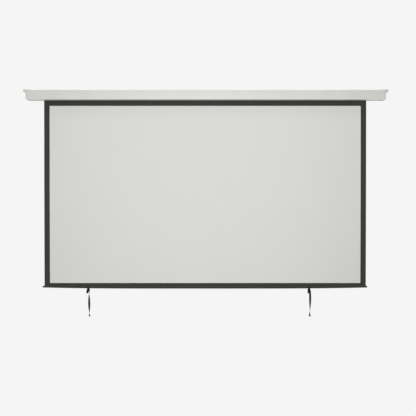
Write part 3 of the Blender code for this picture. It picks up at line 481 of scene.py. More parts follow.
CASE_PAINT = paint("case_powder_coat", (0.678, 0.684, 0.646), 0.42, 1100, 0.00003)
CAP_PLASTIC = paint("cap_moulding", (0.640, 0.646, 0.612), 0.50, 2200, 0.00003)
ROD_PAINT = paint("rod_coat", (0.030, 0.030, 0.030), 0.40, 1100, 0.00003)
BLACK_PLASTIC = paint("black_moulding", (0.030, 0.030, 0.029), 0.48, 2200, 0.00003)
NYLON = paint("natural_nylon", (0.62, 0.61, 0.55), 0.42, 900, 0.00002)
PICTURE_COAT = cloth("picture_coat", (0.720, 0.727, 0.695), 0.92, 0.00045, 0.00002, 0.006)
BLACK_CLOTH = cloth("black_coated_cloth", (0.031, 0.032, 0.026), 0.72, 0.00060, 0.00006, 0.03, 0.05)
WEBBING = webbing("black_webbing", (0.015, 0.015, 0.015), 0.0011, 0.00012)
THREAD = cloth("thread", (0.030, 0.030, 0.030), 0.7, 0.0003, 0.00005, 0.05)
ZINC = metal("zinc_plate", (0.60, 0.61, 0.63), 0.33)
TUBE_STEEL = metal("drawn_tube", (0.58, 0.59, 0.61), 0.36, (0.02, 1, 1), 900)
SCREW_STEEL = metal("screw_plate", (0.66, 0.67, 0.69), 0.25, scale=1500)
SPRING_STEEL = metal("spring_wire", (0.22, 0.22, 0.23), 0.34, scale=700)


# Meshes


def new_mesh(name, points, faces, uvs=None):
    """A mesh of these faces. uvs gives a point of the flat piece, in metres, for each vertex."""
    mesh = bpy.data.meshes.new(name)
    mesh.from_pydata([tuple(p) for p in points], [], faces)
    if uvs:
        layer = mesh.uv_layers.new(name="flat")
        for loop in mesh.loops:
            layer.data[loop.index].uv = uvs[loop.vertex_index]
    return mesh


def from_bmesh(name, bm):
    mesh = bpy.data.meshes.new(name)
    bm.to_mesh(mesh)
    bm.free()
    return mesh


def piece(name, mesh, materials, body, stands_for=(), slot=None, smooth=40):
    """A dressed piece that rides on a body and stands for CAD nodes."""
    obj = bpy.data.objects.new(name, mesh)
    bpy.context.scene.collection.objects.link(obj)
    for material in materials if isinstance(materials, (list, tuple)) else [materials]:
        mesh.materials.append(material)
    if smooth:
        mesh.shade_smooth()
        mesh.set_sharp_from_angle(angle=math.radians(smooth))
    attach(obj, body)
    if stands_for:
        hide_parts(*stands_for)
    return obj


def round_edges(obj, width):
    """A bevel that leaves the flat faces shaded flat."""
    bevel = obj.modifiers.new("edges", "BEVEL")
    bevel.width = width
    bevel.segments = 2
    bevel.limit_method = "ANGLE"
    bevel.angle_limit = EDGE_ANGLE
    bevel.harden_normals = True


def rounded(corners, steps=ARC_STEPS, closed=False):
    """The outline through (across, up, radius) corners, with an arc at each that has a radius."""
    count = len(corners)
    points = []
    for i, (a, b, radius) in enumerate(corners):
        corner = Vector((a, b))
        if not radius or (not closed and i in (0, count - 1)):
            points.append(corner)
            continue
        back = (Vector(corners[i - 1][:2]) - corner).normalized()
        ahead = (Vector(corners[(i + 1) % count][:2]) - corner).normalized()
        half = back.angle(ahead) / 2
        centre = corner + (back + ahead).normalized() * radius / math.sin(half)
        start = corner + back * radius / math.tan(half) - centre
        turn = math.copysign(math.pi - 2 * half, ahead.x * back.y - ahead.y * back.x)
        points += [centre + Matrix.Rotation(turn * k / steps, 2) @ start for k in range(steps + 1)]
    return points


def arc(centre, radius, start, end, steps):
    angles = [start + (end - start) * k / steps for k in range(steps + 1)]
    x, y = centre
    return [Vector((x + radius * math.cos(a), y + radius * math.sin(a))) for a in angles]


def offset(path, distance):
    """The open path moved sideways by a distance, to the left of its direction."""
    moved = []
    for i, point in enumerate(path):
        before = (point - path[i - 1]).normalized() if i else None
        after = (path[i + 1] - point).normalized() if i < len(path) - 1 else None
        first, second = before or after, after or before
        normal = Vector((-first.y - second.y, first.x + second.x)).normalized()
        reach = distance / max(normal.dot(Vector((-first.y, first.x))), MITRE_LIMIT)
        moved.append(point + normal * reach)
    return moved


def lengths(points):
    """How far along the path each point lies."""
    run = [0.0]
    for before, after in zip(points, points[1:]):
        run.append(run[-1] + (after - before).length)
    return run


def loft(name, rings, uvs=None, capped=True):
    """A skin over closed rings of points, with flat ends."""
    count = len(rings[0])
    points = [p for ring in rings for p in ring]
    faces = []
    for r in range(len(rings) - 1):
        low, high = r * count, (r + 1) * count
        for k in range(count):
            after = (k + 1) % count
            faces.append((low + k, low + after, high + after, high + k))
    if capped:
        faces.append(tuple(range(count))[::-1])
        faces.append(tuple(range((len(rings) - 1) * count, len(rings) * count)))
    return new_mesh(name, points, faces, uvs)


def reworked(mesh, change):
    """The mesh after a change that works on a bmesh of it."""
    bm = bmesh.new()
    bm.from_mesh(mesh)
    change(bm)
    bm.to_mesh(mesh)
    bm.free()
    return mesh


def facing_out(mesh):
    return reworked(mesh, lambda bm: bmesh.ops.recalc_face_normals(bm, faces=bm.faces))


def welded(mesh, reach):
    """The mesh with the points that lie within reach of each other made one."""
    return reworked(mesh, lambda bm: bmesh.ops.remove_doubles(bm, verts=bm.verts, dist=reach))


def sheet_section(path, thickness):
    """A closed section round an open path of the sheet's outer face."""
    return path + offset(path, thickness)[::-1]


def along_x(name, section, low, high, stations=2, shape=None):
    """A (y, z) section drawn from low to high X."""
    rings = []
    flat = []
    around = lengths(section)
    for k in range(stations):
        x = low + (high - low) * k / (stations - 1)
        ring = [Vector((x, p.x, p.y)) for p in section]
        rings.append([shape(p) for p in ring] if shape else ring)
        flat += [(x, run) for run in around]
    return facing_out(loft(name, rings, flat))


def turned(name, profile, sides=48):
    """A profile of (radius, along) points turned round +Z."""
    rings = []
    for radius, along in profile:
        angles = [2 * math.pi * k / sides for k in range(sides)]
        rings.append([Vector((radius * math.cos(a), radius * math.sin(a), along)) for a in angles])
    return facing_out(welded(loft(name, rings, capped=False), POLE_WELD_DISTANCE))


TURN_TO = {
    "+X": Matrix.Rotation(math.pi / 2, 4, "Y"),
    "-X": Matrix.Rotation(-math.pi / 2, 4, "Y"),
    "+Z": Matrix.Identity(4),
}


def outward(side):
    return "+X" if side > 0 else "-X"


def placed(mesh, place, facing):
    mesh.transform(Matrix.Translation(place) @ TURN_TO[facing])
    return mesh


def soften(mesh, width, segments=3, angle=50):
    """The mesh with the edges that turn more sharply than the angle rounded."""
    limit = math.radians(angle)
    how = {"segments": segments, "profile": 0.5, "affect": "EDGES", "clamp_overlap": True}

    def bevel(bm):
        sharp = [e for e in bm.edges if len(e.link_faces) == 2 and e.calc_face_angle(0) > limit]
        bmesh.ops.bevel(bm, geom=sharp, offset=width, **how)

    return reworked(mesh, bevel)


def prism(name, outline, plane, low, high):
    """A solid with a flat outline and flat ends at low and high."""
    at = {
        "XZ": lambda a, b, depth: (a, depth, b),
        "XY": lambda a, b, depth: (a, b, depth),
    }[plane]
    rings = [[Vector(at(p[0], p[1], depth)) for p in outline] for depth in (low, high)]
    return facing_out(loft(name, rings))


def block(name, low, high):
    outline = [(low[0], low[1]), (high[0], low[1]), (high[0], high[1]), (low[0], high[1])]
    return prism(name, outline, "XY", low[2], high[2])


def gather(name, meshes):
    """One mesh of several that lie in or against each other."""
    whole = bmesh.new()
    for mesh in meshes:
        whole.from_mesh(mesh)
        bpy.data.meshes.remove(mesh)
    return from_bmesh(name, whole)


def cut(mesh, tool_mesh):
    """The mesh with the tool's shape cut from it."""
    target = bpy.data.objects.new("target", mesh)
    tool = bpy.data.objects.new("tool", tool_mesh)
    for obj in (target, tool):
        bpy.context.scene.collection.objects.link(obj)
    modifier = target.modifiers.new("cut", "BOOLEAN")
    modifier.operation = "DIFFERENCE"
    modifier.solver = "EXACT"
    modifier.object = tool
    shapes = bpy.context.evaluated_depsgraph_get()
    done = bpy.data.meshes.new_from_object(target.evaluated_get(shapes))
    done.name = mesh.name
    for obj in (target, tool):
        bpy.data.objects.remove(obj)
    return done


# Case


def dress_case():
    low, high = SHELL_LOW, SHELL_HIGH
    corners = [
        (LIP_FRONT, low.z + LIP_HEIGHT, 0),
        (LIP_FRONT, low.z, LIP_RADIUS),
        (low.y, low.z, FRONT_LOWER_RADIUS),
        (low.y, high.z, FRONT_UPPER_RADIUS),
        (high.y, high.z, BACK_RADIUS),
        (high.y, low.z, BACK_RADIUS),
        (LIP_REAR, low.z, LIP_RADIUS),
        (LIP_REAR, low.z + LIP_HEIGHT, 0),
    ]
    section = sheet_section(rounded(corners, CASE_ARC_STEPS), -WALL)
    mesh = along_x("shell", section, low.x, high.x)
    shell = piece("shell", mesh, CASE_PAINT, "case", ["case_shell"], "white_paint", smooth=25)
    round_edges(shell, SHEET_EDGE)


def span(side, inner, outer):
    """Low and high X of a stretch given by its distances from the middle."""
    return sorted((side * inner, side * outer))


def cap_ring(x, inset, radii):
    """The cap's outline, an inset inside the case's."""
    low, high = SHELL_LOW, SHELL_HIGH
    corners = [
        (low.y + inset, low.z + inset, radii[0]),
        (low.y + inset, high.z - inset, radii[1]),
        (high.y - inset, high.z - inset, radii[2]),
        (high.y - inset, low.z + inset, radii[2]),
    ]
    return [Vector((x, p.x, p.y)) for p in rounded(corners, closed=True)]


def cap_plate(side):
    """The outer plate, with a rounded rim and a shallow panel."""
    base = (FRONT_LOWER_RADIUS, FRONT_UPPER_RADIUS, BACK_RADIUS)
    inner = CASE_END - CAP_PLATE
    panel = (PANEL_RADIUS,) * 3
    rim = [(inner, CAP_REAR_EDGE), (inner + CAP_REAR_EDGE, 0.0)]
    for k in range(CAP_STEPS + 1):
        turn = math.pi / 2 * k / CAP_STEPS
        inset = CAP_ROUNDING * (1 - math.cos(turn))
        rim.append((CASE_END - CAP_ROUNDING * (1 - math.sin(turn)), inset))
    rings = []
    for x, inset in rim:
        rings.append(cap_ring(side * x, inset, [max(r - inset, LEAST_RADIUS) for r in base]))
    for depth, inset in PANEL_PROFILE:
        x = side * (CASE_END - PANEL_DEPTH * depth)
        rings.append(cap_ring(x, PANEL_MARGIN + inset, panel))
    return facing_out(loft("plate", rings))


def cap_spots(side):
    """Where the cap's two screws go in."""
    heights = (-CAP_SCREW_SPREAD / 2, CAP_SCREW_SPREAD / 2)
    return [Vector((side * CASE_END, ROLLER_AXIS.y, z)) for z in heights]


def cap_ear(side):
    """The flange on the case's top, its slot, and the two ribs under its tip."""
    front, back = EAR_MID_Y - EAR_WIDTH / 2, EAR_MID_Y + EAR_WIDTH / 2
    low, high = span(side, CASE_END - EAR_LAP, CASE_END + EAR_REACH)
    corners = [(low, front), (high, front), (high, back), (low, back)]
    outline = rounded([(*corner, EAR_CORNER) for corner in corners], EAR_STEPS, closed=True)
    flange = prism("flange", outline, "XY", EAR_TOP - EAR_THICKNESS, EAR_TOP)
    middle = side * (CASE_END + EAR_REACH / 2)
    wide, long = EAR_SLOT
    half = (long - wide) / 2
    ends = arc((middle, EAR_MID_Y + half), wide / 2, 0, math.pi, EAR_SLOT_STEPS)
    ends += arc((middle, EAR_MID_Y - half), wide / 2, math.pi, 2 * math.pi, EAR_SLOT_STEPS)
    below, above = EAR_TOP - 2 * EAR_THICKNESS, EAR_TOP + EAR_THICKNESS
    flange = soften(cut(flange, prism("slot", ends, "XY", below, above)), EAR_EDGE)
    low, high = span(side, CASE_END - CAP_PLATE + JOIN, CASE_END - CAP_ROUNDING)
    foot = (low, front + JOIN, SHELL_HIGH.z - CAP_PLATE / 2)
    riser = block("riser", foot, (high, back - JOIN, EAR_TOP - JOIN))
    root, tip = side * (CASE_END - JOIN), side * (CASE_END + EAR_REACH - EAR_CORNER)
    upper = EAR_TOP - EAR_THICKNESS + JOIN
    rib = [(root, upper), (tip, upper)]
    rib += [(tip, EAR_TOP - RIB_TIP_HEIGHT), (root, EAR_TOP - RIB_ROOT_HEIGHT)]
    ribs = []
    for near in (front + JOIN, back - JOIN - RIB_THICKNESS):
        ribs.append(soften(prism("rib", rib, "XZ", near, near + RIB_THICKNESS), RIB_EDGE))
    return [flange, soften(riser, RIB_EDGE), *ribs]


def cap_spigot(side):
    """The wall that goes into the case's end."""
    inset = WALL + CAP_GAP
    low, high = SHELL_LOW, SHELL_HIGH
    wall = [
        (low.y + inset, low.z + FRONT_LOWER_RADIUS, 0),
        (low.y + inset, high.z - inset, FRONT_UPPER_RADIUS),
        (high.y - inset, high.z - inset, BACK_RADIUS),
        (high.y - inset, low.z + FRONT_LOWER_RADIUS, 0),
    ]
    section = sheet_section(rounded(wall), -SPIGOT_WALL)
    inner, outer = CASE_END - CAP_PLATE - CAP_SPIGOT, CASE_END - CAP_PLATE + JOIN
    return soften(along_x("spigot", section, *span(side, inner, outer)), SPIGOT_EDGE, 2)


def dress_end_caps():
    hole = [(0, SCREW_HOLE_REACH), (SCREW_HOLE, SCREW_HOLE_REACH)]
    hole += [(SCREW_HOLE, -SCREW_HOLE_REACH), (0, -SCREW_HOLE_REACH)]
    ring = [(BOSS_RADIUS, -BOSS_ROOT), (BOSS_RADIUS, -BOSS_EDGE), (BOSS_RADIUS - BOSS_EDGE, 0)]
    ring += [(SCREW_HOLE, 0), (SCREW_HOLE, -BOSS_ROOT)]
    for side, word in ((-1, "left"), (1, "right")):
        plate = cap_plate(side)
        bosses = []
        for spot in cap_spots(side):
            plate = cut(plate, placed(turned("hole", hole), spot, outward(side)))
            bosses.append(placed(turned("boss", ring), spot, outward(side)))
        name = f"cap_{word}"
        mesh = gather(name, [plate, *bosses, cap_spigot(side), *cap_ear(side)])
        piece(name, mesh, CAP_PLASTIC, "case", [f"end_{name}"], "white_plastic", smooth=35)


def screw(length):
    """A pan-head screw along +Z, its head on the face at 0, with a cross recess and a thread."""
    tall = SCREW_HEAD_HEIGHT + SCREW_SEAT
    rim, dome = SCREW_HEAD_SHARES
    profile = [(0, tall)]
    for k in range(1, SCREW_HEAD_STEPS + 1):
        turn = math.pi / 2 * k / SCREW_HEAD_STEPS
        height = tall * (rim + dome * math.cos(turn) ** SCREW_DOME_POWER)
        profile.append((SCREW_HEAD_RADIUS * math.sin(turn), height))
    profile += [(SCREW_HEAD_RADIUS, SCREW_HEAD_EDGE), (SCREW_HEAD_RADIUS - SCREW_HEAD_EDGE, 0)]
    profile.append((SCREW_CORE, 0))
    along = SCREW_PITCH
    while along < length - SCREW_BARE_PITCHES * SCREW_PITCH:
        profile += [(radius, -along - share * SCREW_PITCH) for radius, share in SCREW_TURN]
        along += SCREW_PITCH
    profile += [(SCREW_CORE, -length + SCREW_CORE), (0, -length)]
    mesh = turned("screw", profile, SCREW_SIDES)
    levels = list(zip((tall - RECESS_DEPTH, tall + RECESS_OVERSHOOT), RECESS_TAPER))
    for wide, deep in ((RECESS_REACH, RECESS_WIDTH / 2), (RECESS_WIDTH / 2, RECESS_REACH)):
        rings = []
        for z, grow in levels:
            a, b = wide * grow, deep * grow
            rings.append([Vector(p) for p in ((-a, -b, z), (a, -b, z), (a, b, z), (-a, b, z))])
        mesh = cut(mesh, facing_out(loft("recess", rings)))
    return soften(mesh, SCREW_EDGE, 1, SCREW_EDGE_ANGLE)


def dress_screws():
    starts = ("cap_screw", "bracket_screw")
    head = SCREW_HEAD_HEIGHT + SCREW_SEAT
    for k, name in enumerate(sorted(n for n in frame["nodes"] if n.startswith(starts))):
        low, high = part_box(name)
        middle = (low + high) / 2
        if name.startswith("bracket"):
            facing, length = "+Z", high.z - low.z - head
            place = Vector((middle.x, middle.y, high.z - head))
        else:
            side = 1 if middle.x > 0 else -1
            facing, length = outward(side), high.x - low.x - head
            place = Vector((side * CASE_END, middle.y, middle.z))
        mesh = screw(length)
        mesh.transform(Matrix.Rotation(SCREW_FIRST_ANGLE + SCREW_NEXT_ANGLE * k, 4, "Z"))
        mesh = placed(mesh, place, facing)
        piece(f"dressed_{name}", mesh, SCREW_STEEL, "case", [name], "zinc_steel", smooth=30)


# Inside the case


def eased(name, body, finish, edge=0.0):
    """A copy of a CAD node with its round faces shaded round and its edges eased."""
    source = frame["nodes"][name]
    bm = bmesh.new()
    bm.from_mesh(source.data)
    bmesh.ops.transform(bm, matrix=source.matrix_world, verts=bm.verts)
    mesh = welded(from_bmesh(name, bm), WELD_DISTANCE)
    material, slot = finish
    obj = piece(f"dressed_{name}", mesh, material, body, [name], slot, smooth=30)
    if edge:
        round_edges(obj, edge)


def dress_spring():
    """The wound wire, with the solid's turns and more points in each."""
    count = SPRING_TURNS * SPRING_STEPS
    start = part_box("torsion_spring")[0].x + SPRING_WIRE / 2
    circle = arc((0, 0), SPRING_WIRE / 2, 0, 2 * math.pi, SPRING_SIDES)[:-1]
    rings = []
    for k in range(count + 1):
        angle = 2 * math.pi * k / SPRING_STEPS
        out = Vector((0, math.cos(angle), math.sin(angle)))
        tangent = Vector((0, -math.sin(angle), math.cos(angle)))
        turning = tangent * math.pi * SPRING_DIAMETER * SPRING_TURNS
        along = (turning + Vector((SPRING_LENGTH, 0, 0))).normalized()
        place = Vector((start + SPRING_LENGTH * k / count, ROLLER_AXIS.y, ROLLER_AXIS.z))
        middle, across = place + out * SPRING_DIAMETER / 2, along.cross(out)
        rings.append([middle + out * p.x + across * p.y for p in circle])
    mesh = facing_out(loft("spring", rings))
    piece("spring", mesh, SPRING_STEEL, "case", ["torsion_spring"], "spring_steel", smooth=50)


def dress_inside():
    zinc, wire = (ZINC, "zinc_steel"), (SPRING_STEEL, "spring_steel")
    nylon, black = (NYLON, "nylon"), (BLACK_PLASTIC, "black_plastic")
    for name in ("roller_bracket_left", "roller_bracket_right"):
        eased(name, "case", zinc, METAL_EDGE)
    for name in ("slot_trim_front", "slot_trim_rear"):
        eased(name, "case", black, TRIM_EDGE)
    for name in ("lock_ratchet", "spring_spindle"):
        eased(name, "case", zinc, METAL_EDGE)
    for name in ("bracket_bush", "spring_anchor"):
        eased(name, "case", nylon, MOULDED_EDGE)
    for name in ("spring_plug", "idler_plug", "lock_plug"):
        eased(name, "roller", nylon, MOULDED_EDGE)
    eased("lock_cover", "roller", black, MOULDED_EDGE)
    eased("idler_pin", "roller", zinc, METAL_EDGE)
    eased("roller_tube", "roller", (TUBE_STEEL, "zinc_steel"))
    for letter in ("a", "b"):
        eased(f"pawl_pin_{letter}", "roller", wire)
        eased(f"lock_pawl_{letter}", f"pawl_{letter}", zinc, METAL_EDGE)


# Cloth


def smooth_step(value, low, high):
    share = min(max((value - low) / (high - low), 0), 1)
    return share * share * (3 - 2 * share)


def drawn_in(x, z):
    """The cloth's side edges draw in towards the bottom."""
    share = min(max(z / CLOTH_END, 0), 1)
    return CLOTH_X + (x - CLOTH_X) * (1 - EDGE_DRAW / CLOTH_HALF * share**2)


def ripple(x, z):
    """How far the hanging cloth stands off its plane: soft waves, and side edges that curl."""
    held = smooth_step(-z, *RIPPLE_TOP_RUN) * smooth_step(z - CLOTH_END, *RIPPLE_FOOT_RUN)
    across, down = RIPPLES_PER_METRE
    wave = noise.noise(Vector((x * across, z * down, RIPPLE_LAYER))) * RIPPLE
    edge = 1 - smooth_step(CLOTH_HALF - abs(x - CLOTH_X), 0, EDGE_CURL_WIDTH)
    return held * (wave + EDGE_CURL * edge)


def even(start, end, count):
    """Evenly spaced values from start up to, but without, the end."""
    return [start + (end - start) * k / count for k in range(count)]


def dress_cloth():
    left, right = PICTURE_LOW.x, PICTURE_HIGH.x
    xs = even(CLOTH_LOW.x, left, BORDER_COLUMNS) + even(left, right, PICTURE_COLUMNS)
    xs += [*even(right, CLOTH_HIGH.x, BORDER_COLUMNS), CLOTH_HIGH.x]
    top = PICTURE_HIGH.z
    zs = even(CLOTH_END, top, PICTURE_ROWS) + even(top, CLOTH_HIGH.z, TOP_ROWS) + [CLOTH_HIGH.z]
    wide, tall = len(xs), len(zs)
    points, flat = [], []
    for back in (0, 1):
        for z in zs:
            for x in xs:
                y = CLOTH_FRONT + ripple(x, z) + back * CLOTH_THICKNESS
                points.append((drawn_in(x, z), y, z))
                flat.append((x, z))
    faces, white = [], []
    half = wide * tall
    for j in range(tall - 1):
        for i in range(wide - 1):
            a = j * wide + i
            quad = (a, a + 1, a + wide + 1, a + wide)
            faces.append(quad)
            inside = left - SAME_LINE < xs[i] and xs[i + 1] < right + SAME_LINE
            white.append(1 if inside and zs[j + 1] < top + SAME_LINE else 0)
            faces.append(tuple(v + half for v in reversed(quad)))
            white.append(0)
    rim = [j * wide for j in range(tall)] + [(tall - 1) * wide + i for i in range(1, wide)]
    rim += [j * wide + wide - 1 for j in range(tall - 2, -1, -1)] + list(range(wide - 2, 0, -1))
    for a, b in zip(rim, rim[1:] + rim[:1]):
        faces.append((a, b, b + half, a + half))
        white.append(0)
    mesh = new_mesh("cloth", points, faces, flat)
    mesh.polygons.foreach_set("material_index", white)
    stands_for = ["screen_cloth", "picture_surface"]
    coats = [BLACK_CLOTH, PICTURE_COAT]
    obj = piece("cloth", facing_out(mesh), coats, "case", stands_for, "black_cloth")
    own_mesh(obj)


def bow(x):
    """How far the rod stands above its middle at this X."""
    return ROD_BOW * min(abs(x - CLOTH_X) / (CLOTH_HALF - EDGE_DRAW), 1) ** BOW_POWER


def hem_shape(point):
    """The hem's pocket follows the bowed rod, and its top stays level."""
    top = HEM_HIGH.z
    pocket_top = ROD_MID_Z + SEAM_HEIGHT + FLAP
    share = min(max((top - point.z) / (top - pocket_top), 0), 1)
    return Vector((point.x, point.y, point.z + bow(point.x) * share))


def dress_hem(spots):
    outer = ROD_RADIUS + HEM_ROOM + CLOTH_THICKNESS
    seam = ROD_MID_Z + SEAM_HEIGHT
    flap = CLOTH_FRONT + 2 * CLOTH_THICKNESS + LAYER_GAP
    flare = math.acos(outer / SEAM_HEIGHT)
    start, end = math.pi / 2 - flare, math.pi / 2 + flare - 2 * math.pi
    pocket = arc((CLOTH_MID, ROD_MID_Z), outer, start, end, POCKET_STEPS)
    path = [Vector((flap, seam + FLAP)), Vector((flap, seam))] + pocket
    path += [Vector((CLOTH_FRONT, z)) for z in (seam, seam + FLAP, HEM_HIGH.z)]
    section = sheet_section(path, -CLOTH_THICKNESS)
    mesh = along_x("hem", section, HEM_LOW.x, HEM_HIGH.x, HEM_STATIONS, hem_shape)
    side, through = STRAP_WIDTH / 2 + NOTCH_MARGIN, outer + NOTCH_MARGIN
    top = ROD_RADIUS + STRAP_ROOM + STRAP_THICKNESS
    for spot in spots:
        low, high = spot - Vector((side, through, through)), spot + Vector((side, through, top))
        mesh = cut(mesh, block("notch", low, high))
    obj = piece("hem", mesh, BLACK_CLOTH, "bar", ["bottom_hem"], "black_cloth")
    lengths(path)[-1]
    count = int((HEM_HIGH.x - HEM_LOW.x) / SEAM_PITCH) - 1
    first = (HEM_LOW.x + HEM_HIGH.x - count * SEAM_PITCH) / 2
    beads = []
    for y in (CLOTH_FRONT - THREAD_RISE * THREAD_RADIUS, flap + THREAD_RISE * THREAD_RADIUS):
        for k in range(count):
            ends = [first + SEAM_PITCH * (k + share) for share in STITCH_ENDS]
            beads.append(stitch(*[hem_shape(Vector((x, y, seam + FLAP / 2))) for x in ends]))
    piece("hem_seam", gather("seam", beads), THREAD, "bar", smooth=50)


def rod_cap_profile(radius, length):
    """A cap along +Z: a low round button in the middle of its end, and a bore for the rod."""
    button, groove, drop = ROD_CAP_DIMPLE
    shoulder, bore = radius - ROD_CAP_ROUNDING, ROD_RADIUS + ROD_CAP_BORE[0]
    centre = (shoulder, length - drop - ROD_CAP_ROUNDING)
    profile = [(0, length), (shoulder - button, length), (shoulder - groove, length - drop)]
    dome = arc(centre, ROD_CAP_ROUNDING, math.pi / 2, 0, ROD_CAP_STEPS)
    profile += [tuple(p) for p in dome]
    profile += [(radius, ROD_CAP_EDGE[1]), (radius - ROD_CAP_EDGE[0], 0)]
    return profile + [(bore, 0), (bore, ROD_CAP_BORE[1])]


def dress_rod():
    rings = []
    for k in range(ROD_STATIONS + 1):
        x = ROD_LOW.x + (ROD_HIGH.x - ROD_LOW.x) * k / ROD_STATIONS
        centre = (CLOTH_MID, ROD_MID_Z + bow(x))
        circle = arc(centre, ROD_RADIUS, 0, 2 * math.pi, ROD_SIDES)[:-1]
        rings.append([Vector((x, p.x, p.y)) for p in circle])
    piece("rod", facing_out(loft("rod", rings)), ROD_PAINT, "bar", ["bottom_rod"], "black_paint")
    for side, word in ((-1, "left"), (1, "right")):
        low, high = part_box(f"rod_cap_{word}")
        root = low.x if side > 0 else high.x
        place = Vector((root, (low.y + high.y) / 2, (low.z + high.z) / 2))
        name = f"rod_end_{word}"
        profile = rod_cap_profile((high.z - low.z) / 2, high.x - low.x)
        mesh = facing_out(placed(turned(name, profile, ROD_CAP_SIDES), place, outward(side)))
        piece(name, mesh, BLACK_PLASTIC, "bar", [f"rod_cap_{word}"], "black_plastic")


def dress_wound_cloth():
    """The reserve turns on the tube, wound from it outwards."""
    outer = CLOTH_FRONT - ROLLER_AXIS.y - RESERVE_ROOM
    path = []
    for k in range(WOUND_STEPS, -1, -1):
        turn = RESERVE_TURNS * k / WOUND_STEPS
        radius, angle = outer - WIND_PITCH * turn, 2 * math.pi * turn
        path.append(Vector((ROLLER_AXIS.y + radius * math.cos(angle), radius * math.sin(angle))))
    section = sheet_section(path, -CLOTH_THICKNESS)
    mesh = along_x("reserve", section, CLOTH_LOW.x, CLOTH_HIGH.x, RESERVE_STATIONS)
    obj = piece("reserve", mesh, BLACK_CLOTH, "roller", ["wound_cloth"], "black_cloth")
    lengths(path)[-1]


# Pull straps


def level_at(angle):
    """The level direction turned by an angle from +X."""
    return Vector((math.cos(angle), math.sin(angle), 0))


def begun(run, length):
    """How much of a bend that dies away over a length is done after a run."""
    return 1 - math.exp(-run / length)


def short_end(spot, layer, aside):
    """The strap's free short end, up to the clamp: its middle line and its directions across."""
    for k in range(SHORT_STEPS, 0, -1):
        share = (k / SHORT_STEPS) ** SHORT_EASE
        run = (SHORT_DROP - CLAMP_DROP) * k / SHORT_STEPS
        forward = layer + (SHORT_FORWARD - layer) * share
        shift = Vector((aside * begun(run, SHORT_SPREAD_RUN), -forward, -CLAMP_DROP - run))
        yield spot + shift, level_at(SHORT_TWIST * share)


def strap_loop(spot, layer):
    """Round the rod, from the clamp's front to its back."""
    radius = ROD_RADIUS + STRAP_ROOM + STRAP_THICKNESS / 2
    flare = math.acos((radius - layer) / CLAMP_DROP)
    path = [Vector((-layer, -CLAMP_DROP))]
    path += arc((0, 0), radius, 1.5 * math.pi - flare, flare - math.pi / 2, LOOP_STEPS)
    path += [Vector((layer, -CLAMP_DROP))]
    for p in path:
        yield spot + Vector((0, p.x, p.y)), Vector((1, 0, 0))


def long_end(spot, layer, hang):
    """The strap's long end, from the clamp down."""
    for k in range(LONG_STEPS + 1):
        share = k / LONG_STEPS
        run = (LONG_DROP - CLAMP_DROP) * share
        begins = begun(run, hang["first_run"])
        back = layer + LONG_BACK * begins
        aside = hang["lean"] * begun(run, hang["lean_run"]) + hang["drift"] * share**DRIFT_POWER
        angle = hang["twist_per_metre"] * run + hang["first_twist"] * begins
        angle += hang["last_twist"] * share**LAST_TWIST_POWER
        yield spot + Vector((aside, back, -CLAMP_DROP - run)), level_at(angle)


def strap_section():
    """The tape's section, with its bound edges a little thicker than its middle."""
    half, thick = STRAP_WIDTH / 2, STRAP_THICKNESS / 2
    side = [(half - inset, share * thick) for inset, share in TAPE_EDGE]
    middle = [(half * share, TAPE_MIDDLE * thick) for share in TAPE_MIDDLE_SHARES]
    upper = [(-a, b) for a, b in reversed(side)] + middle + side
    return upper + [(a, -b) for a, b in reversed(upper)]


def tape_axes(stations, k):
    """The tape's middle, direction across and normal at a station."""
    middle, across = stations[k]
    along = stations[min(k + 1, len(stations) - 1)][0] - stations[max(k - 1, 0)][0]
    along.normalize()
    across = (across - along * across.dot(along)).normalized()
    return middle, across, along.cross(across)


def ribbon(name, stations):
    """Tape along stations of (middle, direction across)."""
    section = strap_section()
    runs = lengths([middle for middle, _ in stations])
    rings, flat = [], []
    for k in range(len(stations)):
        middle, across, normal = tape_axes(stations, k)
        rings.append([middle + across * a + normal * b for a, b in section])
        flat += [(a, runs[k]) for a, _ in section]
    return facing_out(loft(name, rings, flat))


def stitch(start, end):
    """One bead of thread between two points."""
    reach = (end - start).length
    radius = THREAD_RADIUS
    profile = [(0, 0), (radius, radius), (radius, reach - radius), (0, reach)]
    mesh = turned("stitch", profile, STITCH_SIDES)
    turn = (end - start).to_track_quat("Z", "Y").to_matrix().to_4x4()
    mesh.transform(Matrix.Translation(start) @ turn)
    return mesh


def stitch_row(middle):
    """Stitches across a strap, on both faces of the place where its two layers meet."""
    face = STRAP_ROOM / 2 + STITCH_FACE * STRAP_THICKNESS + THREAD_RISE * THREAD_RADIUS
    pitch = STITCH_SPAN / STITCHES
    beads = []
    for side in (-1, 1):
        for k in range(STITCHES):
            ends = [STITCH_SPAN * (k / STITCHES - 0.5) + share * pitch for share in STITCH_ENDS]
            beads.append(stitch(*[middle + Vector((x, side * face, 0)) for x in ends]))
    return beads


def dress_straps():
    layer = (STRAP_THICKNESS + STRAP_ROOM) / 2
    for word, hang in STRAP_HANGS.items():
        spot, body = STRAP_SPOTS[word], f"strap_{word}"
        looped = [*short_end(spot, layer, SHORT_ASIDE[word]), *strap_loop(spot, layer)]
        hanging = list(long_end(spot, layer, hang))
        for end_name, stations in (("loop", looped), ("tail", hanging)):
            name = f"strap_{word}_{end_name}"
            tape = ribbon(name, stations)
            node_names = [f"pull_strap_{word}"]
            piece(name, tape, WEBBING, body, node_names, "black_webbing", smooth=50)
        beads = gather("stitches", stitch_row(spot + Vector((0, 0, STITCH_RISE - CLAMP_DROP))))
        stitches = piece(f"strap_{word}_stitches", beads, THREAD, body, smooth=50)
        path = [middle for middle, _ in hanging]
        tuple(path[0])
        lengths(path)[-1]
        [tuple(p) for p in path]


# Camera, light and stage


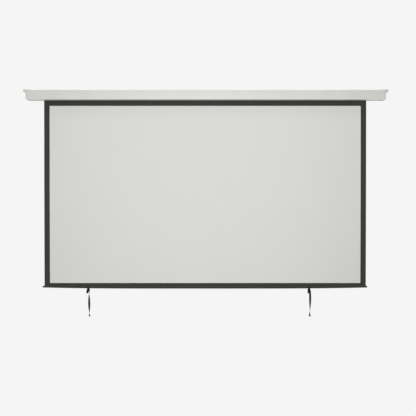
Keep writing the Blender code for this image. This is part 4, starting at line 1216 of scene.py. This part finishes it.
def make_camera():
    camera = bpy.data.objects.new("camera", bpy.data.cameras.new("camera"))
    bpy.context.scene.collection.objects.link(camera)
    camera.location = (CAMERA_X, CLOTH_FRONT - CAMERA_DISTANCE, CAMERA_Z)
    camera.rotation_euler = (math.pi / 2, 0, 0)
    camera.data.lens = camera.data.sensor_width * CAMERA_DISTANCE / VIEW_WIDTH
    camera.data.clip_end = CLIP_END
    bpy.context.scene.camera = camera


def show_plain(tree, shader, kind, output):
    """Lets camera, glossy and transmission rays see the plain background in a shader's place."""
    path = node(tree, "ShaderNodeLightPath")
    seen = combine(tree, path.outputs["Is Camera Ray"], path.outputs["Is Glossy Ray"])
    seen = combine(tree, seen, path.outputs["Is Transmission Ray"])
    seen = combine(tree, seen, 1.0, "MINIMUM")
    plain = node(tree, kind, {"Color": (*BACKGROUND, 1), "Strength": 1.0})
    inputs = {"Fac": seen, 1: shader.outputs[0], 2: plain.outputs[0]}
    mix = node(tree, "ShaderNodeMixShader", inputs)
    tree.links.new(mix.outputs[0], tree.nodes[output].inputs["Surface"])


def hang_lamp(light, place, target):
    lamp = bpy.data.objects.new(light.name, light)
    bpy.context.scene.collection.objects.link(lamp)
    lamp.location = place
    lamp.rotation_euler = (Vector(target) - lamp.location).to_track_quat("-Z", "Y").to_euler()
    lamp.visible_camera = False


def make_light():
    world = bpy.data.worlds.new("studio")
    world.use_nodes = True
    bpy.context.scene.world = world
    tree = world.node_tree
    dome = tree.nodes["Background"]
    dome.inputs["Color"].default_value = (1, 1, 1, 1)
    dome.inputs["Strength"].default_value = DOME_STRENGTH
    show_plain(tree, dome, "ShaderNodeBackground", "World Output")

    key = bpy.data.lights.new("key", "SPOT")
    key.spot_size, key.spot_blend = KEY_CONE, 1.0
    key.shadow_soft_size = KEY_RADIUS
    key.energy = KEY_WATTS
    hang_lamp(key, KEY_PLACE, KEY_TARGET)
    for name, lamp in AREA_LAMPS.items():
        light = bpy.data.lights.new(name, "AREA")
        light.shape = "RECTANGLE"
        light.size, light.size_y = lamp["size"]
        light.energy = lamp["watts"]
        hang_lamp(light, lamp["place"], lamp["target"])


def make_floor():
    material, tree, shader = start_material("floor")
    connect(
        tree,
        shader,
        Base_Color=FLOOR_COLOUR,
        Roughness=FLOOR_ROUGHNESS,
        Emission_Color=(1, 1, 1, 1),
        Emission_Strength=FLOOR_GLOW,
    )
    show_plain(tree, shader, "ShaderNodeEmission", "Material Output")
    corners = [(-1, -1), (1, -1), (1, 1), (-1, 1)]
    points = [(FLOOR_HALF * x, FLOOR_HALF * y, FLOOR_Z) for x, y in corners]
    mesh = new_mesh("floor", points, [(0, 1, 2, 3)])
    mesh.materials.append(material)
    floor = bpy.data.objects.new("floor", mesh)
    bpy.context.scene.collection.objects.link(floor)


make_camera()
make_light()
make_floor()
bpy.context.scene.view_settings.view_transform = "Standard"

dress_straps()
dress_case()
dress_end_caps()
dress_screws()
dress_inside()
dress_spring()
dress_wound_cloth()
dress_cloth()
dress_hem(STRAP_SPOTS.values())
dress_rod()
